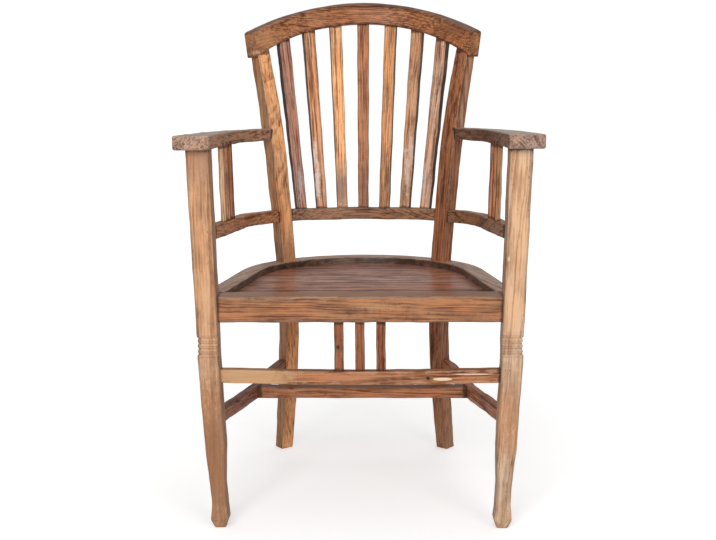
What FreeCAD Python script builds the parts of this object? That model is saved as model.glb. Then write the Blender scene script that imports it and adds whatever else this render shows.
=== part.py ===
"""Slatted armchair in reclaimed teak, with a barrel back and a horseshoe seat.

Millimetres. +X is the sitter's left, -Y is the front, +Z is up. The origin is on
the floor, under the middle of the chair's bounding box. Nothing on it moves.
"""
import FreeCAD, Part
import math
import os
import Sketcher
from FreeCAD import Placement, Rotation, Vector

os.makedirs("parts", exist_ok=True)
doc = FreeCAD.newDocument("slatted_armchair")

# Driving dimensions: name, value in mm or degrees, meaning
SIZES = (
    ("chair_depth", 613, "front of the arms to the back of the crest rail"),
    ("arm_overhang", 23, "arms' front edge ahead of the front legs"),
    ("seat_height", 430, "floor to the top of the seat's front rail and rim"),
    ("arm_rise", 284, "top of the seat rim to the top of the arms"),
    ("back_rise", 270, "top of the arms to the top of the crest rail"),
    ("housing_depth", 8, "how deep a bar's end is let into its neighbour"),
    ("tenon_length", 12, "how deep the slats and posts run into the crest rail"),
    ("easing", 2, "flat taken off each long corner"),
    # Front legs
    ("leg_depth", 41, "front leg, front to back, at the top"),
    ("leg_top_width", 40.5, "front leg's side under the arm"),
    ("leg_top_spread", 279.8, "middle plane to the leg's centre under the arm"),
    ("leg_bead_width", 38, "front leg's side at the carved beads"),
    ("leg_bead_spread", 270.3, "middle plane to the leg's centre at the beads"),
    ("bead_drop", 22, "underside of the seat rail to the top of the beads"),
    ("bead_height", 38.5, "height of the band of beads"),
    ("groove_depth", 4, "depth of each groove between the beads"),
    ("ridge_depth", 1.3, "how far the beads lie under the leg's face"),
    ("knee_height", 152, "floor to where the leg starts to taper"),
    ("knee_width", 35.7, "front leg's side where the taper starts"),
    ("knee_spread", 262.3, "middle plane to the leg's centre there"),
    ("ankle_height", 84, "floor to the end of the taper"),
    ("ankle_length", 40, "height of the narrow ankle"),
    ("ankle_width", 27.8, "front leg's side at the ankle"),
    ("foot_spread", 257.5, "middle plane to the centre of the foot"),
    ("foot_height", 17, "floor to the widest part of the foot"),
    ("foot_width", 32.5, "widest part of the foot"),
    ("toe_width", 20, "side of the foot's flat underside"),
    # Back posts
    ("post_turn", 38, "turn of the back posts towards the middle, degrees"),
    ("post_foot_width", 29, "back post's side at the floor"),
    ("post_foot_spread", 182, "middle plane to the post's centre at the floor"),
    ("post_foot_back", 475, "leg's front to the post's centre at the floor"),
    ("post_shin_height", 196, "floor to the side stretcher's joint in the post"),
    ("post_shin_width", 32.2, "back post's side there"),
    ("post_shin_spread", 167.2, "middle plane to the post's centre there"),
    ("post_shin_back", 455, "leg's front to the post's centre there"),
    ("post_seat_width", 32.3, "back post's side at the seat"),
    ("post_seat_spread", 166.6, "middle plane to the post's centre at the seat"),
    ("post_seat_back", 439.5, "leg's front to the post's centre at the seat"),
    ("post_rail_width", 32.7, "back post's side at the lower back rail"),
    ("post_arm_width", 34.3, "back post's side at the arm"),
    ("post_arm_spread", 191.3, "middle plane to the post's centre at the arm"),
    ("post_arm_back", 449, "leg's front to the post's centre at the arm"),
    ("post_inset", 1.4, "post's face behind the crest rail's face where they meet"),
    # Crest rail, lower back rail and back slats
    ("barrel_radius", 350, "plan radius of the back's middle line"),
    ("barrel_drop", 79, "crest's top to the height at which it has that radius"),
    ("barrel_lean", 0.2, "growth of the crest's radius with height, a slope"),
    ("crest_thickness", 33, "crest rail, front to back"),
    ("crest_height", 47, "crest rail, top to bottom, in the middle"),
    ("crest_half_angle", 43.3, "middle plane to the end of the crest, degrees"),
    ("crest_top_radius", 457.5, "radius of the arched top edge"),
    ("crest_bottom_radius", 421, "radius of the arched bottom edge"),
    ("crest_round", 15, "rounding of the crest's top front corner"),
    ("slat_step", 9.9, "angle between the tops of two back slats, degrees"),
    ("slat_foot_pitch", 45.6, "back slats' spacing along the middle of the lower back rail"),
    ("slat_top_width", 26, "back slat's width at the top"),
    ("slat_top_thickness", 20, "back slat's thickness at the top"),
    ("slat_foot_width", 22.8, "back slat's width at the bottom"),
    ("slat_foot_thickness", 16.6, "back slat's thickness at the bottom"),
    ("back_rail_back", 483, "leg's front to the middle of the lower back rail"),
    ("back_rail_radius", 363, "plan radius of the lower back rail"),
    ("back_rail_rise", 111, "top of the seat rim to the top of the lower back rail"),
    ("back_rail_height", 25, "lower back rail, top to bottom"),
    ("back_rail_depth", 23, "lower back rail, front to back"),
    # Arms, and the rails and slats under them
    ("arm_thickness", 25, "thickness of the arms"),
    ("arm_front_width", 63, "arm's width at its front edge"),
    ("arm_end_width", 30, "arm's width along the back post's face"),
    ("side_rail_width", 23, "side rail under the arm, across"),
    ("side_rail_end_width", 28, "side rail's width along the back post's face"),
    ("side_rail_height", 25.5, "side rail under the arm, top to bottom"),
    ("side_rail_front_rise", 124, "seat rim to the side rail's top at the front leg"),
    ("side_rail_back_rise", 110, "seat rim to the side rail's top at the back post"),
    ("spindle_width", 17, "wide face of the short slats"),
    ("spindle_thickness", 9.5, "thickness of the short slats"),
    ("spindle_pitch", 37.5, "spacing of the short slats"),
    ("arm_spindle_start", 120, "leg's front to the first slat under an arm"),
    ("arm_spindle_inset", 24.3, "leg's centre line to the first slat's top"),
    ("arm_spindle_lean", 3.5, "how far a slat's foot stands nearer the middle"),
    ("arm_spindle_drift", 2.2, "how far each next slat stands nearer the middle"),
    # Seat
    ("front_rail_setback", 10, "leg's front to the seat rail's face"),
    ("front_rail_depth", 52, "seat front rail, front to back"),
    ("front_rail_height", 47, "seat front rail, top to bottom"),
    ("front_rail_half_length", 261, "middle plane to the end of the seat front rail"),
    ("rim_centre_back", 282, "leg's front to the centre of the seat's round back"),
    ("rim_outer_radius", 249, "outer radius of the seat rim's round back"),
    ("rim_inner_radius", 210, "inner radius of the seat rim's round back"),
    ("rim_outer_spread", 286.5, "middle plane to the rim's outer edge inside the front leg"),
    ("rim_inner_spread", 246, "middle plane to the rim's inner edge at the front rail"),
    ("rim_height", 47, "seat rim, top to bottom"),
    ("board_drop", 14, "top of the rim to the top of the seat boards"),
    ("board_thickness", 18, "seat boards' thickness"),
    ("board_pitch", 88, "spacing of the seat boards"),
    ("board_gap", 0.6, "gap between two seat boards"),
    ("batten_width", 24, "battens under the seat boards, across"),
    ("batten_height", 14, "battens under the seat boards, top to bottom"),
    ("batten_spread", 100, "middle plane to a batten's centre"),
    # Stretchers
    ("stretcher_setback", 10, "leg's front to the front stretcher's face"),
    ("stretcher_depth", 19, "front stretcher, front to back"),
    ("stretcher_height", 25, "front stretcher, top to bottom"),
    ("stretcher_drop", 24.5, "beads' underside to the top of the front stretcher at the legs"),
    ("stretcher_sag", 4, "how far its middle hangs below its ends"),
    ("spindle_setback", 12, "leg's front to the slats over the front stretcher"),
    ("side_stretcher_width", 20, "side stretcher, across"),
    ("side_stretcher_height", 25, "side stretcher, top to bottom"),
    ("side_stretcher_end_width", 24, "side stretcher's width along the back post's face"),
    ("side_stretcher_spread", 272, "middle plane to the side stretcher at the leg"),
    ("side_stretcher_top", 206, "floor to the side stretcher's top at the leg"),
    ("side_stretcher_rise", 3, "how much higher it meets the back post"),
    ("cross_setback", 224.5, "leg's front to the cross stretcher's face"),
    ("cross_depth", 25, "cross stretcher, front to back"),
    ("cross_height", 23, "cross stretcher, top to bottom"),
    ("cross_bottom", 183.5, "floor to the underside of the cross stretcher"),
)

sheet = doc.addObject("Spreadsheet::Sheet", "Sizes")
for row, (alias, value, meaning) in enumerate(SIZES, 1):
    sheet.set(f"A{row}", alias)
    sheet.set(f"B{row}", str(value))
    sheet.set(f"C{row}", meaning)
    sheet.setAlias(f"B{row}", alias)
doc.recompute()

SIDES = (("left", 1), ("right", -1))
BACK_SLATS = 7
SPINDLES = 3
BOARDS = 5
BEAD_GROOVES = 4

# Places that several pieces share, as expressions of the sheet's cells
LEG_FRONT = "(Sizes.arm_overhang - Sizes.chair_depth / 2)"
ARM_TOP = "(Sizes.seat_height + Sizes.arm_rise)"
ARM_UNDERSIDE = f"({ARM_TOP} - Sizes.arm_thickness)"
CREST_TOP = f"({ARM_TOP} + Sizes.back_rise)"
CREST_UNDERSIDE = f"({CREST_TOP} - Sizes.crest_height)"
BARREL_LEVEL = f"({CREST_TOP} - Sizes.barrel_drop)"
BACK_RAIL_TOP = "(Sizes.seat_height + Sizes.back_rail_rise)"
BEAD_TOP = "(Sizes.seat_height - Sizes.front_rail_height - Sizes.bead_drop)"
BEAD_BOTTOM = f"({BEAD_TOP} - Sizes.bead_height)"
STRETCHER_TOP = f"({BEAD_BOTTOM} - Sizes.stretcher_drop)"
FRONT_RAIL_BACK = "(Sizes.front_rail_setback + Sizes.front_rail_depth)"
RIM_BOTTOM = "(Sizes.seat_height - Sizes.rim_height)"
RIM_FRONT = "(Sizes.leg_depth - Sizes.housing_depth)"
BOARD_TOP = "(Sizes.seat_height - Sizes.board_drop)"
BOARD_UNDERSIDE = f"({BOARD_TOP} - Sizes.board_thickness)"
BARREL_CENTRE = (
    "(Sizes.chair_depth / 2 - Sizes.barrel_radius - Sizes.crest_thickness / 2"
    " - Sizes.barrel_lean * Sizes.barrel_drop)"
)
SLAT_FOOT_STEP = "(Sizes.slat_foot_pitch / Sizes.back_rail_radius * 180 / pi)"
POST_FOOT_ANGLE = f"({SLAT_FOOT_STEP} * {(BACK_SLATS + 1) / 2})"
POST_TOP_ANGLE = f"(Sizes.slat_step * {(BACK_SLATS + 1) / 2})"

# Along from the front leg to the back post, and out from the post's face
SIDE_STRETCHER_SHARES = (
    (0, 1), (0.21, 0.77), (0.36, 0.575), (0.52, 0.39), (0.80, 0.21), (1, 0),
)

# Each piece before mortises are cut in it, by name
blanks = {}


# Drawing helpers
def behind(distance):
    """The place that lies a distance behind the front legs' faces."""
    return f"({LEG_FRONT} + {distance})"


def number(expression):
    """The value that an expression of the sheet has now."""
    value = sheet.evalExpression(str(expression))
    return float(getattr(value, "Value", value))


def arc_between(start, end, radius, side):
    """An arc that bulges to the right of the way from start to end, or to the left."""
    chord = end - start
    outward = Vector(chord.y, -chord.x, 0).normalize() * side
    centre = start + chord / 2 - outward * math.sqrt(radius ** 2 - chord.Length ** 2 / 4)
    first, last = (start, end) if side > 0 else (end, start)
    begin = math.atan2(first.y - centre.y, first.x - centre.x)
    finish = math.atan2(last.y - centre.y, last.x - centre.x)
    if finish < begin:
        finish += 2 * math.pi
    circle = Part.Circle(centre, Vector(0, 0, 1), radius)
    return Part.ArcOfCircle(circle, begin, finish)


def outline(body, name, role, corners):
    """A closed sketch on one of a body's own origin planes.

    A corner is two expressions. An arc runs on from a corner that also has a radius
    and a side: 1 bulges to the right of the way round, and -1 to the left.
    """
    support = next(item for item in body.Origin.OriginFeatures if item.Role == role)
    sketch = body.newObject("Sketcher::SketchObject", name)
    sketch.AttachmentSupport = (support, [""])
    sketch.MapMode = "FlatFace"
    points = [Vector(number(corner[0]), number(corner[1]), 0) for corner in corners]
    for corner, start, end in zip(corners, points, points[1:] + points[:1]):
        if len(corner) == 2:
            sketch.addGeometry(Part.LineSegment(start, end))
        else:
            sketch.addGeometry(arc_between(start, end, number(corner[2]), corner[3]))

    # An arc's own ends run anticlockwise, so one that bulges left is met end first
    starts = [2 if len(corner) == 4 and corner[3] < 0 else 1 for corner in corners]
    for index, corner in enumerate(corners):
        after = (index + 1) % len(corners)
        sketch.addConstraint(
            Sketcher.Constraint("Coincident", index, 3 - starts[index], after, starts[after])
        )
        for kind, expression in (("DistanceX", corner[0]), ("DistanceY", corner[1])):
            rank = sketch.addConstraint(
                Sketcher.Constraint(kind, -1, 1, index, starts[index], number(expression))
            )
            sketch.setExpression(f"Constraints[{rank}]", expression)
        if len(corner) == 4:
            rank = sketch.addConstraint(
                Sketcher.Constraint("Radius", index, number(corner[2]))
            )
            sketch.setExpression(f"Constraints[{rank}]", corner[2])
    return sketch


def eased(width, height):
    """Corners of a rectangle about the origin whose four corners are taken off."""
    across = f"({width}) / 2"
    along = f"({height}) / 2"
    return (
        (across, f"{along} - Sizes.easing"),
        (f"{across} - Sizes.easing", along),
        (f"Sizes.easing - {across}", along),
        (f"-{across}", f"{along} - Sizes.easing"),
        (f"-{across}", f"Sizes.easing - {along}"),
        (f"Sizes.easing - {across}", f"-{along}"),
        (f"{across} - Sizes.easing", f"-{along}"),
        (across, f"Sizes.easing - {along}"),
    )


def lofted_bar(label, lie, stations, ruled=True):
    """A bar through a row of sections, kept as the blank of that name.

    A station is the section's place in X, Y and Z, its turn about the vertical and
    its corners. An upright bar has level sections. A lengthwise bar's sections face
    along Y before they turn, and a crosswise bar's along X.
    """
    roles = {"upright": "XY_Plane", "lengthwise": "XZ_Plane", "crosswise": "YZ_Plane"}
    axis = Vector(0, 0, 1) if lie == "upright" else Vector(0, 1, 0)
    body = doc.addObject("PartDesign::Body", f"{label}_body")
    sketches = []
    for rank, (x, y, z, turn, corners) in enumerate(stations):
        base = {"upright": (x, y, z), "lengthwise": (x, z, f"-({y})"), "crosswise": (y, z, x)}
        sketch = outline(body, f"{label}_section_{rank}", roles[lie], corners)
        sketch.AttachmentOffset = Placement(Vector(), Rotation(axis, number(turn)))
        for letter, expression in zip("xyz", base[lie]):
            sketch.setExpression(f".AttachmentOffset.Base.{letter}", expression)
        if turn != "0":
            sketch.setExpression(".AttachmentOffset.Rotation.Angle", turn)
        sketches.append(sketch)
    loft = body.newObject("PartDesign::AdditiveLoft", f"{label}_loft")
    loft.Profile = sketches[0]
    loft.Sections = sketches[1:]
    loft.Ruled = ruled
    body.Tip = loft
    blanks[label] = body


def bent_bar(label, sign, places, height, end_width):
    """A level bar along a curve in plan, whose last section lies along a post's face.

    A place is the curve's X and Y, the height of the bar's middle, and its width.
    """
    stations = []
    last = len(places) - 1
    for rank, (x, y, z, width) in enumerate(places):
        turn = "0"
        if rank == last:
            turn = f"{sign} * (90 - Sizes.post_turn)"
            width = end_width
        elif rank > 0:
            before, after = places[rank - 1], places[rank + 1]
            turn = f"{sign} * atan2({before[0]} - {after[0]}; {after[1]} - {before[1]})"
        stations.append((f"{sign} * {x}", y, z, turn, eased(width, height)))
    lofted_bar(label, "lengthwise", stations, ruled=False)


def plate(label, corners, bottom, height):
    """A level plate with an outline in plan, kept as the blank of that name."""
    body = doc.addObject("PartDesign::Body", f"{label}_body")
    sketch = outline(body, f"{label}_outline", "XY_Plane", corners)
    sketch.setExpression(".AttachmentOffset.Base.z", bottom)
    pad = body.newObject("PartDesign::Pad", f"{label}_pad")
    pad.Profile = sketch
    pad.setExpression("Length", height)
    body.Tip = pad
    blanks[label] = body


def block(label, corner, size):
    """A square block, from its lowest corner."""
    cuboid = doc.addObject("Part::Box", f"{label}_block")
    for name, expression in zip(("Length", "Width", "Height"), size):
        cuboid.setExpression(name, expression)
    for letter, expression in zip("xyz", corner):
        cuboid.setExpression(f".Placement.Base.{letter}", expression)
    return cuboid


# Front legs
def bead_sections():
    """Height of the sections through the beads, and how deep each is carved."""
    rows = [(0, "0")]
    for rank in range(BEAD_GROOVES):
        rows.append((rank + 0.5, "Sizes.groove_depth"))
        if rank < BEAD_GROOVES - 1:
            rows.append((rank + 0.85, "Sizes.ridge_depth"))
            rows.append((rank + 1.15, "Sizes.ridge_depth"))
    rows.append((BEAD_GROOVES, "0"))
    return [
        (f"({BEAD_TOP} - Sizes.bead_height * {pitches / BEAD_GROOVES})", depth)
        for pitches, depth in rows
    ]


def front_leg(side, sign):
    """Square leg that splays outwards, with beads, a taper and a spade foot.

    The beads are carved in the leg's front and outer faces only.
    """
    ankle_spread = "((Sizes.foot_spread + Sizes.knee_spread) / 2)"
    ankle_foot = "(Sizes.ankle_height - Sizes.ankle_length)"
    head = f"({ARM_UNDERSIDE} + Sizes.housing_depth)"
    beads = [
        (height, f"(Sizes.leg_bead_width - {carved})", "Sizes.leg_bead_spread", carved)
        for height, carved in bead_sections()
    ]
    sections = [
        (head, "Sizes.leg_top_width", "Sizes.leg_top_spread", "0"),
        *beads,
        ("Sizes.knee_height", "Sizes.knee_width", "Sizes.knee_spread", "0"),
        ("Sizes.ankle_height", "Sizes.ankle_width", ankle_spread, "0"),
        (ankle_foot, "Sizes.ankle_width", "Sizes.foot_spread", "0"),
        ("Sizes.foot_height", "Sizes.foot_width", "Sizes.foot_spread", "0"),
        ("0", "Sizes.toe_width", "Sizes.foot_spread", "0"),
    ]
    stations = [
        (
            f"{sign} * ({spread} - {carved} / 2)",
            behind(f"(Sizes.leg_depth + {carved}) / 2"),
            height, "0", eased(width, width),
        )
        for height, width, spread, carved in sections
    ]
    lofted_bar(f"front_leg_{side}", "upright", stations)


# The barrel of the back
def on_barrel(angle, level):
    """X and Y of the crest's middle line, at an angle from the middle and a height."""
    radius = f"(Sizes.barrel_radius + Sizes.barrel_lean * ({level} - {BARREL_LEVEL}))"
    return f"({radius} * sin({angle}))", f"({BARREL_CENTRE} + {radius} * cos({angle}))"


def on_back_rail(angle):
    """X and Y of the lower back rail's middle line, at an angle from the middle."""
    centre = behind("Sizes.back_rail_back - Sizes.back_rail_radius")
    return (
        f"(Sizes.back_rail_radius * sin({angle}))",
        f"({centre} + Sizes.back_rail_radius * cos({angle}))",
    )


def arch(height, radius, angle):
    """Height of an arched edge of the crest rail, at an angle from the middle."""
    offset = f"(Sizes.barrel_radius * sin({angle}))"
    return f"({height} - {radius} + sqrt({radius} ^ 2 - {offset} ^ 2))"


def tenon_top(angle):
    """Height to which a post or slat runs up inside the crest rail."""
    underside = arch(CREST_UNDERSIDE, "Sizes.crest_bottom_radius", angle)
    return f"({underside} + Sizes.tenon_length)"


def back_post(side, sign):
    """Square post from the floor into the crest, curved like a sabre."""
    top = tenon_top(POST_TOP_ANGLE)
    rows = (
        (
            "Sizes.post_foot_spread", behind("Sizes.post_foot_back"),
            "0", "Sizes.post_foot_width",
        ),
        (
            "Sizes.post_shin_spread", behind("Sizes.post_shin_back"),
            "Sizes.post_shin_height", "Sizes.post_shin_width",
        ),
        (
            "Sizes.post_seat_spread", behind("Sizes.post_seat_back"),
            BOARD_TOP, "Sizes.post_seat_width",
        ),
        (
            *on_back_rail(POST_FOOT_ANGLE),
            f"{BACK_RAIL_TOP} - Sizes.back_rail_height / 2", "Sizes.post_rail_width",
        ),
        (
            "Sizes.post_arm_spread", behind("Sizes.post_arm_back"),
            f"{ARM_TOP} - Sizes.arm_thickness / 2", "Sizes.post_arm_width",
        ),
        (*on_barrel(POST_TOP_ANGLE, top), top, "(Sizes.crest_thickness - 2 * Sizes.post_inset)"),
    )
    stations = [
        (f"{sign} * {x}", y, z, f"{-sign} * Sizes.post_turn", eased(width, width))
        for x, y, z, width in rows
    ]
    lofted_bar(f"back_post_{side}", "upright", stations, ruled=False)


def post_face(x, y, width, aside="0"):
    """A housing's depth inside a post's outer front face, and aside from its middle."""
    reach = f"({width} / 2 - Sizes.housing_depth)"
    return (
        f"({x} + {reach} * cos(Sizes.post_turn) + {aside} * sin(Sizes.post_turn))",
        f"({y} - {reach} * sin(Sizes.post_turn) + {aside} * cos(Sizes.post_turn))",
    )


def back_slat(rank):
    """Slat from the lower back rail up into the crest, which twists as it rises."""
    step = rank - (BACK_SLATS - 1) / 2
    foot_angle = f"({SLAT_FOOT_STEP} * {step})"
    top_angle = f"(Sizes.slat_step * {step})"
    top = tenon_top(top_angle)
    foot = (
        *on_back_rail(foot_angle), f"{BACK_RAIL_TOP} - Sizes.housing_depth",
        f"-1 * {foot_angle}", eased("Sizes.slat_foot_width", "Sizes.slat_foot_thickness"),
    )
    head = (
        *on_barrel(top_angle, top), top,
        f"-1 * {top_angle}", eased("Sizes.slat_top_width", "Sizes.slat_top_thickness"),
    )
    lofted_bar(f"back_slat_{rank + 1}", "upright", [foot, head])


def crest_section(low, high):
    """Corners of the crest's section, which leans out and is round at its top front."""
    half = "Sizes.crest_thickness / 2"
    shoulder = f"({high} - Sizes.crest_round)"

    def lean(level):
        return f"Sizes.barrel_lean * ({level} - {BARREL_LEVEL})"

    return (
        (f"{lean(shoulder)} - {half}", shoulder),
        (f"{lean(low)} - {half}", low),
        (f"{lean(low)} + {half}", low),
        (f"{lean(high)} + {half}", high),
        (f"{lean(high)} - {half} + Sizes.crest_round", high, "Sizes.crest_round", 1),
    )


def crest_rail():
    """Rail curved in plan and arched above and below, cut square at its ends."""
    stations = []
    for angle_share in (-1, -0.75, -0.5, -0.25, 0, 0.25, 0.5, 0.75, 1):
        angle = f"(Sizes.crest_half_angle * {angle_share})"
        low = arch(CREST_UNDERSIDE, "Sizes.crest_bottom_radius", angle)
        high = arch(CREST_TOP, "Sizes.crest_top_radius", angle)
        x, y = on_barrel(angle, BARREL_LEVEL)
        stations.append((x, y, "0", f"90 - {angle}", crest_section(low, high)))
    lofted_bar("crest_rail", "lengthwise", stations, ruled=False)


def lower_back_rail():
    """Rail curved in plan between the posts, under the back slats."""
    setback = "(Sizes.post_rail_width / 2 - Sizes.housing_depth)"
    half_angle = f"({POST_FOOT_ANGLE} - {setback} / Sizes.back_rail_radius * 180 / pi)"
    centre = behind("Sizes.back_rail_back - Sizes.back_rail_radius")
    outer = "(Sizes.back_rail_radius + Sizes.back_rail_depth / 2)"
    inner = "(Sizes.back_rail_radius - Sizes.back_rail_depth / 2)"

    def end(sign, radius):
        return f"{sign} * {radius} * sin({half_angle})", f"{centre} + {radius} * cos({half_angle})"

    corners = (
        (*end(1, outer), outer, 1),
        end(-1, outer),
        (*end(-1, inner), inner, -1),
        end(1, inner),
    )
    bottom = f"{BACK_RAIL_TOP} - Sizes.back_rail_height"
    plate("lower_back_rail", corners, bottom, "Sizes.back_rail_height")


# Arms, and the rails and slats under them
def arm(side, sign):
    """Flat arm, wide at the front, that bends in to the back post's outer face."""
    face_x, face_y = post_face(
        "Sizes.post_arm_spread", behind("Sizes.post_arm_back"), "Sizes.post_arm_width"
    )
    front = behind("-Sizes.arm_overhang")
    # Along from the front edge to the post, out from the post's face, width
    arm_shares = (
        (0, 1.07, 1),
        (0.27, 0.996, 0.873),
        (0.49, 0.902, 0.738),
        (0.66, 0.740, 0.54),
        (0.80, 0.520, 0.42),
        (1, 0, 0.42),
    )
    places = [
        (
            f"({face_x} + (Sizes.leg_top_spread - {face_x}) * {out_share})",
            f"({front} + ({face_y} - {front}) * {along_share})",
            f"{ARM_TOP} - Sizes.arm_thickness / 2",
            f"Sizes.arm_front_width * {width_share}",
        )
        for along_share, out_share, width_share in arm_shares
    ]
    bent_bar(f"arm_{side}", sign, places, "Sizes.arm_thickness", "Sizes.arm_end_width")


def side_rail(side, sign):
    """Rail under the arm, from the back of the front leg to the back post."""
    post_x, post_y = on_back_rail(POST_FOOT_ANGLE)
    face_x, face_y = post_face(post_x, post_y, "Sizes.post_rail_width")
    front = behind("Sizes.leg_depth - Sizes.housing_depth")
    # Along from the front leg to the post, out from the post's face
    rail_shares = ((0, 0.875), (0.28, 0.757), (0.55, 0.665), (0.82, 0.460), (1, 0))
    places = [
        (
            f"({face_x} + (Sizes.leg_top_spread - {face_x}) * {out_share})",
            f"({front} + ({face_y} - {front}) * {along_share})",
            "Sizes.seat_height + Sizes.side_rail_front_rise - Sizes.side_rail_height / 2"
            f" - (Sizes.side_rail_front_rise - Sizes.side_rail_back_rise) * {along_share}",
            "Sizes.side_rail_width",
        )
        for along_share, out_share in rail_shares
    ]
    height, end_width = "Sizes.side_rail_height", "Sizes.side_rail_end_width"
    bent_bar(f"side_rail_{side}", sign, places, height, end_width)


def arm_slat(side, sign, rank):
    """Short slat between the side rail and the arm."""
    x = f"(Sizes.leg_top_spread - Sizes.arm_spindle_inset - Sizes.arm_spindle_drift * {rank})"
    y = behind(f"(Sizes.arm_spindle_start + Sizes.spindle_pitch * {rank})")
    corners = eased("Sizes.spindle_thickness", "Sizes.spindle_width")
    foot = (
        f"{sign} * ({x} - Sizes.arm_spindle_lean)", y,
        "Sizes.seat_height + Sizes.side_rail_back_rise - Sizes.housing_depth", "0", corners,
    )
    head = (f"{sign} * {x}", y, f"{ARM_UNDERSIDE} + Sizes.housing_depth", "0", corners)
    lofted_bar(f"arm_slat_{side}_{rank + 1}", "upright", [foot, head])


# Seat
def seat_front_rail():
    """Straight rail across the front, notched into both legs."""
    y = behind("Sizes.front_rail_setback + Sizes.front_rail_depth / 2")
    z = "Sizes.seat_height - Sizes.front_rail_height / 2"
    corners = eased("Sizes.front_rail_depth", "Sizes.front_rail_height")
    ends = [
        (f"{sign} * Sizes.front_rail_half_length", y, z, "0", corners) for sign in (-1, 1)
    ]
    lofted_bar("seat_front_rail", "crosswise", ends)


def rim_touch(radius, spread, front):
    """Where a line from an edge's front end touches a circle of the rim's round back."""
    ahead = f"({front} - Sizes.rim_centre_back)"
    angle = f"(atan2({ahead}; {spread}) + acos({radius} / sqrt({spread} ^ 2 + {ahead} ^ 2)))"
    return f"({radius} * cos({angle}))", behind(f"Sizes.rim_centre_back + {radius} * sin({angle})")


def rim_joint(radius):
    """Where a circle of the rim crosses the line through a post's outer and inner corners.

    The rim's pieces meet on that line, so neither wraps round a corner of the post.
    """
    back = "(Sizes.post_seat_back - Sizes.rim_centre_back)"
    across, along = "cos(45 - Sizes.post_turn)", "sin(45 - Sizes.post_turn)"
    middle = f"(Sizes.post_seat_spread * {across} + {back} * {along})"
    excess = f"(Sizes.post_seat_spread ^ 2 + {back} ^ 2 - {radius} ^ 2)"
    reach = f"(sqrt({middle} ^ 2 - {excess}) - {middle})"
    return (
        f"(Sizes.post_seat_spread + {reach} * {across})",
        behind(f"Sizes.post_seat_back + {reach} * {along}"),
    )


def rim_side(side, sign):
    """One arm of the horseshoe, from the front leg to the back post.

    It is notched at its front round the end of the seat's front rail.
    """
    outer, inner = "Sizes.rim_outer_radius", "Sizes.rim_inner_radius"
    row = (
        ("Sizes.front_rail_half_length", behind(RIM_FRONT)),
        ("Sizes.rim_outer_spread", behind(RIM_FRONT)),
        (*rim_touch(outer, "Sizes.rim_outer_spread", RIM_FRONT), outer, sign),
        rim_joint(outer),
        (*rim_joint(inner), inner, -sign),
        rim_touch(inner, "Sizes.rim_inner_spread", FRONT_RAIL_BACK),
        ("Sizes.rim_inner_spread", behind(FRONT_RAIL_BACK)),
        ("Sizes.front_rail_half_length", behind(FRONT_RAIL_BACK)),
    )
    corners = [(f"{sign} * {corner[0]}", *corner[1:]) for corner in row]
    plate(f"seat_rim_{side}", corners, RIM_BOTTOM, "Sizes.rim_height")


def rim_back():
    """The round back of the horseshoe, between the two posts."""
    outer, inner = "Sizes.rim_outer_radius", "Sizes.rim_inner_radius"
    outer_x, outer_y = rim_joint(outer)
    inner_x, inner_y = rim_joint(inner)
    corners = (
        (outer_x, outer_y, outer, 1),
        (f"-1 * {outer_x}", outer_y),
        (f"-1 * {inner_x}", inner_y, inner, -1),
        (inner_x, inner_y),
    )
    plate("seat_rim_back", corners, RIM_BOTTOM, "Sizes.rim_height")


def seat_boards():
    """Boards across the seat, let into a groove round the inside of the rim."""
    radius = "(Sizes.rim_inner_radius + Sizes.housing_depth)"
    spread = "(Sizes.rim_inner_spread + Sizes.housing_depth)"
    back = f"(Sizes.rim_centre_back + {radius})"
    touch_x, touch_y = rim_touch(radius, spread, FRONT_RAIL_BACK)
    corners = (
        (f"-1 * {spread}", behind(FRONT_RAIL_BACK)),
        (spread, behind(FRONT_RAIL_BACK)),
        (touch_x, touch_y, radius, 1),
        ("0", behind(back), radius, 1),
        (f"-1 * {touch_x}", touch_y),
    )
    plate("seat_panel", corners, BOARD_UNDERSIDE, "Sizes.board_thickness")
    panel = blanks.pop("seat_panel")
    for rank in range(BOARDS):
        label = f"seat_board_{rank + 1}"
        start = f"({FRONT_RAIL_BACK} + Sizes.board_pitch * {rank})"
        end = f"({start} + Sizes.board_pitch - Sizes.board_gap)" if rank < BOARDS - 1 else back
        strip = block(
            label, (f"-1 * {spread}", behind(start), BOARD_UNDERSIDE),
            (f"2 * {spread}", f"{end} - {start}", "Sizes.board_thickness"),
        )
        board = doc.addObject("Part::Common", f"{label}_common")
        board.Base = panel
        board.Tool = strip
        blanks[label] = board


def seat_batten(side, sign):
    """Batten under the boards, from the front rail to the back of the rim."""
    start = f"({FRONT_RAIL_BACK} - Sizes.housing_depth)"
    reach = "sqrt(Sizes.rim_inner_radius ^ 2 - Sizes.batten_spread ^ 2)"
    end = f"(Sizes.rim_centre_back + {reach} + Sizes.housing_depth)"
    blanks[f"seat_batten_{side}"] = block(
        f"seat_batten_{side}",
        (
            f"{sign} * Sizes.batten_spread - Sizes.batten_width / 2", behind(start),
            f"{BOARD_UNDERSIDE} - Sizes.batten_height",
        ),
        ("Sizes.batten_width", f"{end} - {start}", "Sizes.batten_height"),
    )


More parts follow.
